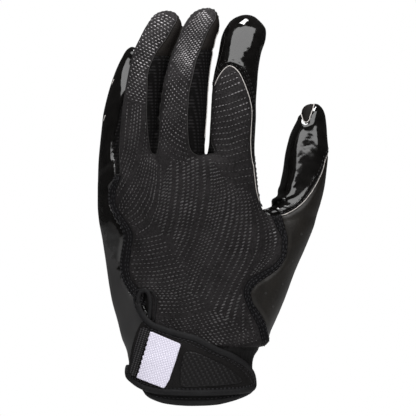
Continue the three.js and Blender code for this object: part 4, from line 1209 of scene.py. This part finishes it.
FLOWS = (
    (2.95, 4.1, 3.5, 1.2, 0, (
        ((159, 12), (166, 15), (173.5, 19.5)), ((153, 17.5), (161, 22), (170, 28.5)),
        ((148, 24.6), (155, 30), (164.5, 37)), ((142.6, 35.6), (150, 41), (160, 46)),
        ((138, 45), (146, 49.5), (155.5, 53.4)), ((134.4, 56), (142, 60.5), (152.5, 65)),
        ((131.8, 68), (140, 72.5), (150, 76.5)), ((129, 82.4), (137, 87), (147.4, 91)),
        ((126.4, 97), (136, 100.5), (146.8, 103.5)))),
    (4.8, 3.6, 2.6, 1.15, 0, (
        ((128, 103), (125.8, 128), (124.5, 148), (120.5, 163), (117.5, 172)),
        ((133, 104.6), (130.4, 130), (127.5, 152), (121, 170), (116.5, 180)),
        ((141, 106.4), (139.6, 134), (135.5, 158), (127, 180), (116, 198)),
        ((146.4, 108), (145, 138), (141, 162), (132, 184), (119, 206)),
        ((149, 152), (147, 168), (141, 188), (131, 205), (121.5, 214)),
        ((157, 164), (156.5, 182), (153, 202), (144, 220), (128, 228)),
        ((161, 166), (161, 184), (158, 206), (150, 226), (134, 236)))),
    (3.7, 2.3, 2.6, 1.15, -72, (
        ((204, 11), (208, 16), (212, 21)), ((197, 14), (200, 22), (204, 28), (207.5, 31)),
        ((190, 22), (195, 30), (201, 38), (203.5, 42)), ((184, 31), (190, 40), (197, 49), (200, 52.5)),
        ((178, 44), (185, 54), (192.5, 63), (196, 66.5)), ((173, 60), (180, 70), (188, 79), (193, 83)))),
    (4.8, 3.3, 1.7, 1.15, 0, (
        ((171, 66), (180, 78), (188, 86), (192, 89)), ((166, 90), (174, 101), (183, 109), (189, 112)),
        ((164, 108), (171, 118), (180, 126), (188.5, 131)), ((162, 126), (168, 137), (176, 144), (188, 150)),
        ((160, 142), (166, 153), (174, 160), (187, 163)))),
    (6.2, 3.4, 3.4, 1.2, "rising", (
        ((165, 176), (164, 190), (161, 206), (156, 221)), ((171, 159), (170.5, 186), (167, 214), (162, 234)),
        ((184, 158), (184, 188), (180, 218), (174, 238)),
        ((197, 158), (197.5, 190), (194, 214), (188, 240), (176, 262)),
        ((210, 158), (212, 188), (208, 214), (200, 240), (186, 268)),
        ((222, 176), (225, 195), (222, 215), (214, 240), (200, 270), (190, 294)),
        ((234, 186), (238, 200), (237, 220), (231, 245), (219, 270), (206, 298)),
        ((246, 190), (250, 206), (251, 222), (249, 244), (244, 262), (232, 284), (220, 312)),
        ((254, 198), (260, 212), (265, 226), (267, 242), (263, 258), (250, 276), (238, 300), (232, 326)),
        ((264, 206), (271, 220), (276, 238), (273, 256), (258, 272), (246, 290), (250, 320), (254, 336)))),
    (6.7, 3.5, 2.6, 1.0, 0, (
        ((222, 78), (230, 75), (238, 71.5)), ((216, 92), (230, 87), (245, 80.5)),
        ((213, 108), (230, 104), (248, 97)), ((211.5, 124), (230, 121), (249, 114)),
        ((211, 140), (229, 139), (248, 132)), ((211, 156), (229, 156.5), (249, 150)),
        ((213, 170), (230, 172), (252, 168)), ((222, 183), (236, 185), (254, 182)))),
    (4.25, 4.2, 3.2, 1.05, 0, (
        ((133, 240), (146, 238.5), (160, 235)), ((132, 256), (150, 254.5), (170, 250)),
        ((133, 272), (155, 271.5), (184, 266)), ((139, 286), (165, 286), (186, 281)),
        ((160, 298), (178, 298), (194, 294)), ((160, 312), (184, 312), (206, 306)))),
    (4.6, 4.4, 2.3, 1.1, 24, (
        ((163, 320), (186, 318), (214, 310)), ((178, 330), (198, 327), (228, 318)),
        ((200, 340), (222, 338), (250, 332)), ((214, 346), (232, 345), (256, 340)))),
)
DASH_HEIGHT = 0.42 * MM
DASH_APART = 2.1            # least distance between two dashes, in pixels
DASH_MARGIN = 1.2 * MM      # least distance from a seam
RISING_TURN = -0.42
# Where the dashes are longer or shorter: share, middle column and reach, middle row and reach
DASH_CHANGES = ((-0.42, 194, 34, 268, 34), (-0.42, 138, 16, 105, 14), (-0.35, 224, 14, 172, 18),
                (0.4, 162, 20, 274, 11), (0.3, 226, 15, 318, 24))


def rows_between(guides, pitch):
    """Rows that run between guide lines, about a pitch apart."""
    lines = []
    for guide in guides:
        points = [Vector((column, row, 0)) for column, row in guide]
        length = sum((b - a).length for a, b in zip(points, points[1:]))
        lines.append(evened(points, length / 20, 0))
    rows = []
    for one, other in zip(lines, lines[1:]):
        count = min(len(one), len(other)) - 1
        apart = sum((one[i] - other[i]).length for i in range(count + 1)) / (count + 1)
        between = max(1, round(apart / pitch))
        rows += [[one[i].lerp(other[i], k / between) for i in range(count + 1)] for k in range(between)]
    return rows + [lines[-1]]


def crowded(taken, spot):
    """Whether another dash lies too near to a spot. Notes the spot if none does."""
    cell = (round(spot.x / 2), round(spot.y / 2))
    near = [taken.get((cell[0] + i, cell[1] + k)) for i in (-1, 0, 1) for k in (-1, 0, 1)]
    if any(other and (other - spot).length < DASH_APART for other in near):
        return True
    taken[cell] = spot
    return False


def dash_size(spot, point):
    size = random.uniform(0.75, 1.1) * (0.97 + 0.5 * noise.noise(point / (11 * MM)))
    for share, column, wide, row, high in DASH_CHANGES:
        size *= 1 + share * bulge(spot.x, column, wide) * bulge(spot.y, row, high)
    return size


def dashes():
    """Places of the raised dashes. Every second row is moved along by half a pitch."""
    places = []
    taken = {}
    for row_pitch, dash_pitch, length, width, turn, guides in FLOWS:
        for row_count, row in enumerate(rows_between(guides, row_pitch)):
            spots = evened(row, dash_pitch, 0)
            if row_count % 2:
                spots = [(a + b) / 2 for a, b in zip(spots, spots[1:])]
            for i, spot in enumerate(spots):
                along = heading(spots, i)
                angle = RISING_TURN if turn == "rising" else math.atan2(along.y, along.x) + math.radians(turn)
                point, normal, _, _ = SKIN.ray_cast(Vector((across(spot.x), IN_FRONT, up(spot.y))), INWARD)
                if point is None or panel_at(point) != "hand_back" or SEAM_TREE.find(point)[2] < DASH_MARGIN:
                    continue
                if crowded(taken, spot):
                    continue
                aim = Vector((math.cos(angle), 0, -math.sin(angle)))
                aim -= normal * aim.dot(normal)
                size = dash_size(spot, point) * PIXEL
                places.append((point, aim, normal, (length * size, width * size, DASH_HEIGHT)))
    return places


dress(scattered("back_dashes", GRAIN, dashes()), "back_knit", DASH_PRINT)


# Pieces at the wrist

WRIST_ROWS = (290, 412)
SLEEVE_RINGS = 76
SLEEVE_SIDES = 180
STRAP_LIFT = 0.6 * MM
STRAP_WALL = 1.5 * MM
ON_STRAP = STRAP_LIFT + STRAP_WALL + 0.15 * MM
STRAP = ((146, 320), (157, 328), (178, 335), (195.5, 339.4), (214.6, 350), (230.6, 356.6), (240, 363),
         (249, 373), (253, 381), (252, 387), (246, 389.6), (226, 391.4), (195, 392.2), (170, 391.4),
         (150, 388), (138, 382), (131, 375), (130.6, 368), (132.6, 356), (135, 343), (139, 330))
PATCH = ((151.4, 331), (181.2, 343.4), (175.4, 362), (169.4, 379.4), (164.6, 387.4), (151, 382.2),
         (137.8, 377), (138.8, 372.6), (140.2, 372), (139.8, 369), (141.6, 367.8), (141, 365),
         (142.8, 363.4), (142.2, 360.6), (144.2, 358.6), (143.4, 356), (145.4, 354), (144.8, 351.4),
         (146.8, 349.4), (146, 346.8), (148, 344.8), (147.4, 342), (149.2, 340), (148.8, 337),
         (150.6, 335.4), (150.2, 333))
HOOK = ((142.4, 327.6), (149.6, 331), (145.6, 343), (141.8, 356), (138.6, 368), (136.4, 375), (131.6, 372.6),
        (133.4, 361), (136, 348), (139, 337))
PAD = ((184, 353), (196, 352), (214, 360), (226, 366), (236, 373.4), (241, 381), (224, 384), (200, 385.4),
       (182, 385), (180.6, 372))
HEM_STITCHES = ((150, 393.6), (158, 395.6), (170, 396.8), (190, 397.6), (210, 397.4), (228, 395.8),
                (242, 392.6))
STITCHED_LINE = ((146, 328), (170, 335), (195.5, 345.7), (221, 357), (233.8, 365), (243.3, 374), (248.4, 385),
                 (221, 388), (170, 388.4), (147, 385), (133, 374))
BINDING_LINE = ((128.2, 367), (130.4, 373), (134.6, 379), (140, 383.4), (148, 387.4), (158, 389.8),
                (170, 390.8), (195, 391.6), (226, 391), (240, 390), (248, 388.6), (252.4, 385.4),
                (253, 380.6), (248.8, 372.4), (240.4, 362.8), (230.6, 355.4), (214.8, 348.8),
                (195.8, 338.2), (178, 333.8), (157, 326.8), (150, 321.8), (145.2, 316.4), (141.8, 310.4),
                (140.2, 304))
SLIT_LINE = ((146.4, 318), (142.6, 312), (140, 305), (139.4, 298), (141, 292.6), (144.8, 290), (148.6, 291.8),
             (150.8, 297.6), (151.4, 305.4), (150.6, 313), (150.4, 319))
SLIT_LINING = ((140, 303), (140.6, 292), (145, 287), (150, 291), (151, 302), (153, 318), (147, 317))
SLIT_RIM = ((137.4, 309), (135.2, 303), (135, 297), (137.2, 290), (141, 286.4), (145.6, 285.2), (150, 287),
            (153.6, 291.6), (156, 298), (156.5, 305), (155.6, 312), (154.8, 320))
SLIT_STITCHES = ((134, 299), (136.6, 308), (139.4, 314.6), (143.4, 320.4), (148.6, 325.6), (156, 330.4),
                 (163, 333.8))
ROLL_STITCHES = ((157.6, 318.4), (163, 322.6), (170, 327.4), (180, 331.6), (197, 336.4), (216, 346.8),
                 (232, 353.4))


def wrist_sleeve(lift):
    """The surface round the wrist at a height over the hand's form."""
    low, high = WRIST_ROWS
    bm = bmesh.new()
    rows = [low + (high - low) * i / SLEEVE_RINGS for i in range(SLEEVE_RINGS + 1)]
    add_tube(bm, TUBES["hand"], rows, SLEEVE_SIDES, lift)
    bmesh.ops.recalc_face_normals(bm, faces=bm.faces)
    return bm


WRIST_SKIN = BVHTree.FromBMesh(wrist_sleeve(0.0))


def wrist_patch(name, outline, lift, thickness, slot, relief=None, steps=6):
    """A cloth piece cut to an outline from the sleeve that lies over the wrist."""
    rim = rounded(outline, steps)
    bm = wrist_sleeve(lift)

    def kept(point):
        return "cloth" if point.y < 0.5 * MM and inside(rim, column_of(point.x), row_of(point.z)) else "rest"

    layer, names = divide(bm, kept)
    bmesh.ops.delete(bm, geom=[face for face in bm.faces if names[face[layer]] == "rest"], context="FACES")
    if relief:
        for vert in bm.verts:
            vert.co += vert.normal * relief(column_of(vert.co.x), row_of(vert.co.z))
    piece = to_object(bm, name)
    bm.free()
    return dress(thicken(piece, thickness, 1.0), slot, node=NODE_OF.get(name))


NODE_OF = {"strap_cloth": "strap", "patch_cloth": "strap_patch", "pad_rubber_piece": "strap_pad",
           "hook_tape": "hook_edge"}


def far_from(line, column, row):
    """Distance in pixels from a place to a line of the front view."""
    best = 1e9
    for (x1, y1), (x2, y2) in zip(line, line[1:]):
        dx, dy = x2 - x1, y2 - y1
        t = max(0, min(1, ((column - x1) * dx + (row - y1) * dy) / (dx * dx + dy * dy)))
        best = min(best, math.hypot(column - x1 - t * dx, row - y1 - t * dy))
    return best


def strap_relief(column, row):
    away = far_from(STITCHED_LINE, column, row)
    rise = -0.35 * MM * math.exp(-(away / 1.5) ** 2)
    rise += 0.3 * MM * min(far_from(rounded(STRAP)[::3], column, row) / 6, 1)
    return rise + 0.15 * MM * noise.noise(Vector((column / 14, row / 14, 2)))


wrist_patch("strap_cloth", STRAP, STRAP_LIFT, STRAP_WALL, "strap_fabric", strap_relief)
wrist_patch("slit_lining", SLIT_LINING, -2.3 * MM, 0.4 * MM, "cuff_knit")
wrist_patch("patch_cloth", PATCH, ON_STRAP, 0.8 * MM, "patch_weave", steps=1)
wrist_patch("pad_rubber_piece", PAD, ON_STRAP, 0.7 * MM, "pad_rubber")
wrist_patch("hook_tape", HOOK, ON_STRAP, 1.0 * MM, "hook")


def over_wrist(line, lift, pitch=1.5 * MM):
    """A line of the front view laid on the wrist at a height over the skin."""
    points, outward = [], []
    raw = [met_from_front(WRIST_SKIN, spot, -5 * MM) for spot in line]
    for point in evened(curved(raw, 8), pitch, 3):
        place, normal = on_skin(point, WRIST_SKIN)
        points.append(place + normal * lift)
        outward.append(normal)
    return points, outward


def binding(name, line, node, lift=1.5 * MM, wide=1.7 * MM, deep=1.25 * MM):
    points, outward = over_wrist(line, lift)
    dress(swept(name, points, outward, wide, deep, 12), "binding", node=node)
    return points, outward


strap_edge, strap_out = binding("strap_edge_binding", BINDING_LINE, "strap_binding", 1.9 * MM)
binding("slit_edge_binding", SLIT_LINE, "slit_binding", 1.0 * MM, 1.15 * MM, 1.0 * MM)
binding("slit_outer_rim", SLIT_RIM, "slit_binding", 0.7 * MM, 0.5 * MM, 0.6 * MM)


def bar_stitches(points, outward, across_by=0.0, lift=0.0):
    """Stitches beside a run of points whose outward directions are known."""
    out = []
    walked = evened(points, STITCH_PITCH, 0)
    for i, point in enumerate(walked):
        forward = heading(walked, i).normalized()
        nearest = min(range(len(points)), key=lambda k: (points[k] - point).length_squared)
        normal = outward[nearest]
        out.append((point + normal.cross(forward) * across_by + normal * lift, forward, normal, STITCH_SIZE))
    return out


binding_rows = bar_stitches(strap_edge, strap_out, 2.15 * MM, 0.5 * MM)
for line, lift in ((SLIT_STITCHES, 0.6 * MM), (ROLL_STITCHES, 0.45 * MM), (HEM_STITCHES, 0.5 * MM)):
    binding_rows += bar_stitches(*over_wrist(line, lift))
dress(scattered("binding_stitches", GRAIN, binding_rows), "binding", GREY_THREAD)

strap_rows = bar_stitches(*over_wrist(STITCHED_LINE, ON_STRAP + 0.1 * MM, STITCH_PITCH))
dress(scattered("strap_stitches", GRAIN, strap_rows), "strap_fabric", GREY_THREAD)


HEM_STEPS = 120
HEM_ROLL_ROWS = 3.2


def hem_loop():
    """Centre line of the rolled hem, round the wrist opening."""
    points, outward = [], []
    for i in range(HEM_STEPS):
        turn = 2 * math.pi * i / HEM_STEPS
        row = 400
        for _ in range(3):
            place = section_point(TUBES["hand"].at(row), row, math.cos(turn), math.sin(turn), -WALL / 2)
            row = HEM_LINE.at(column_of(place.x))[0] - HEM_ROLL_ROWS
        inner = section_point(TUBES["hand"].at(row), row, math.cos(turn), math.sin(turn), -WALL / 2 - MM)
        points.append(place)
        outward.append((place - inner).normalized())
    return points, outward


dress(swept("hem_roll", *hem_loop(), 1.75 * MM, 1.55 * MM, 12, closed=True), "binding", node="cuff_binding")


# Camera, light and floor

CAMERA_AWAY = 4.0


def front_camera():
    view = bpy.data.cameras.new("camera")
    view.sensor_width = 36
    view.lens = view.sensor_width * CAMERA_AWAY / (FRAME_PIXELS * PIXEL)
    camera = placed("camera", view)
    camera.location = (across(FRAME_PIXELS / 2), -CAMERA_AWAY, up(FRAME_PIXELS / 2))
    camera.rotation_euler = (math.pi / 2, 0, 0)
    bpy.context.scene.camera = camera


def soft_light(name, place, target, wide, high, watts):
    data = bpy.data.lights.new(name, "AREA")
    data.shape = "RECTANGLE"
    data.size = wide
    data.size_y = high
    data.energy = watts
    lamp = placed(name, data)
    lamp.location = place
    lamp.rotation_euler = (Vector(target) - Vector(place)).to_track_quat("-Z", "Y").to_euler()
    lamp.visible_camera = False


def studio():
    """White backdrop for the camera, and a faint even light for the object."""
    world = bpy.data.worlds.new("studio")
    bpy.context.scene.world = world
    world.use_nodes = True
    tree = world.node_tree
    plain = tree.nodes["Background"]
    white = tree.nodes.new("ShaderNodeBackground")
    for light, strength in ((plain, 0.04), (white, 1.0)):
        light.inputs["Color"].default_value = (1, 1, 1, 1)
        light.inputs["Strength"].default_value = strength
    seen = tree.nodes.new("ShaderNodeLightPath")
    either = tree.nodes.new("ShaderNodeMixShader")
    tree.links.new(seen.outputs["Is Camera Ray"], either.inputs["Fac"])
    tree.links.new(plain.outputs["Background"], either.inputs[1])
    tree.links.new(white.outputs["Background"], either.inputs[2])
    tree.links.new(either.outputs["Shader"], tree.nodes["World Output"].inputs["Surface"])
    bpy.context.scene.view_settings.view_transform = "Standard"


def pale_floor():
    bm = bmesh.new()
    bmesh.ops.create_grid(bm, x_segments=4, y_segments=4, size=2.0)
    bmesh.ops.translate(bm, verts=bm.verts, vec=(0, 0, -0.12))
    floor = to_object(bm, "floor")
    material, tree, shader = finish_of("pale_floor", (0.9, 0.9, 0.9), 0.8)
    cloud = grain(tree, cloth_coordinates(tree), 0.2)
    coloured(tree, shader, cloud, ((0.3, (0.88,) * 3), (0.7, (0.92,) * 3)))
    floor.data.materials.append(material)


front_camera()
soft_light("softbox_front", (0.02, -0.71, 0.96), (0.01, 0, 0.11), 1.6, 0.85, 21)
soft_light("softbox_top", (-0.03, 0.03, 1.0), (0, 0, 0.12), 0.45, 0.22, 9)
studio()
pale_floor()
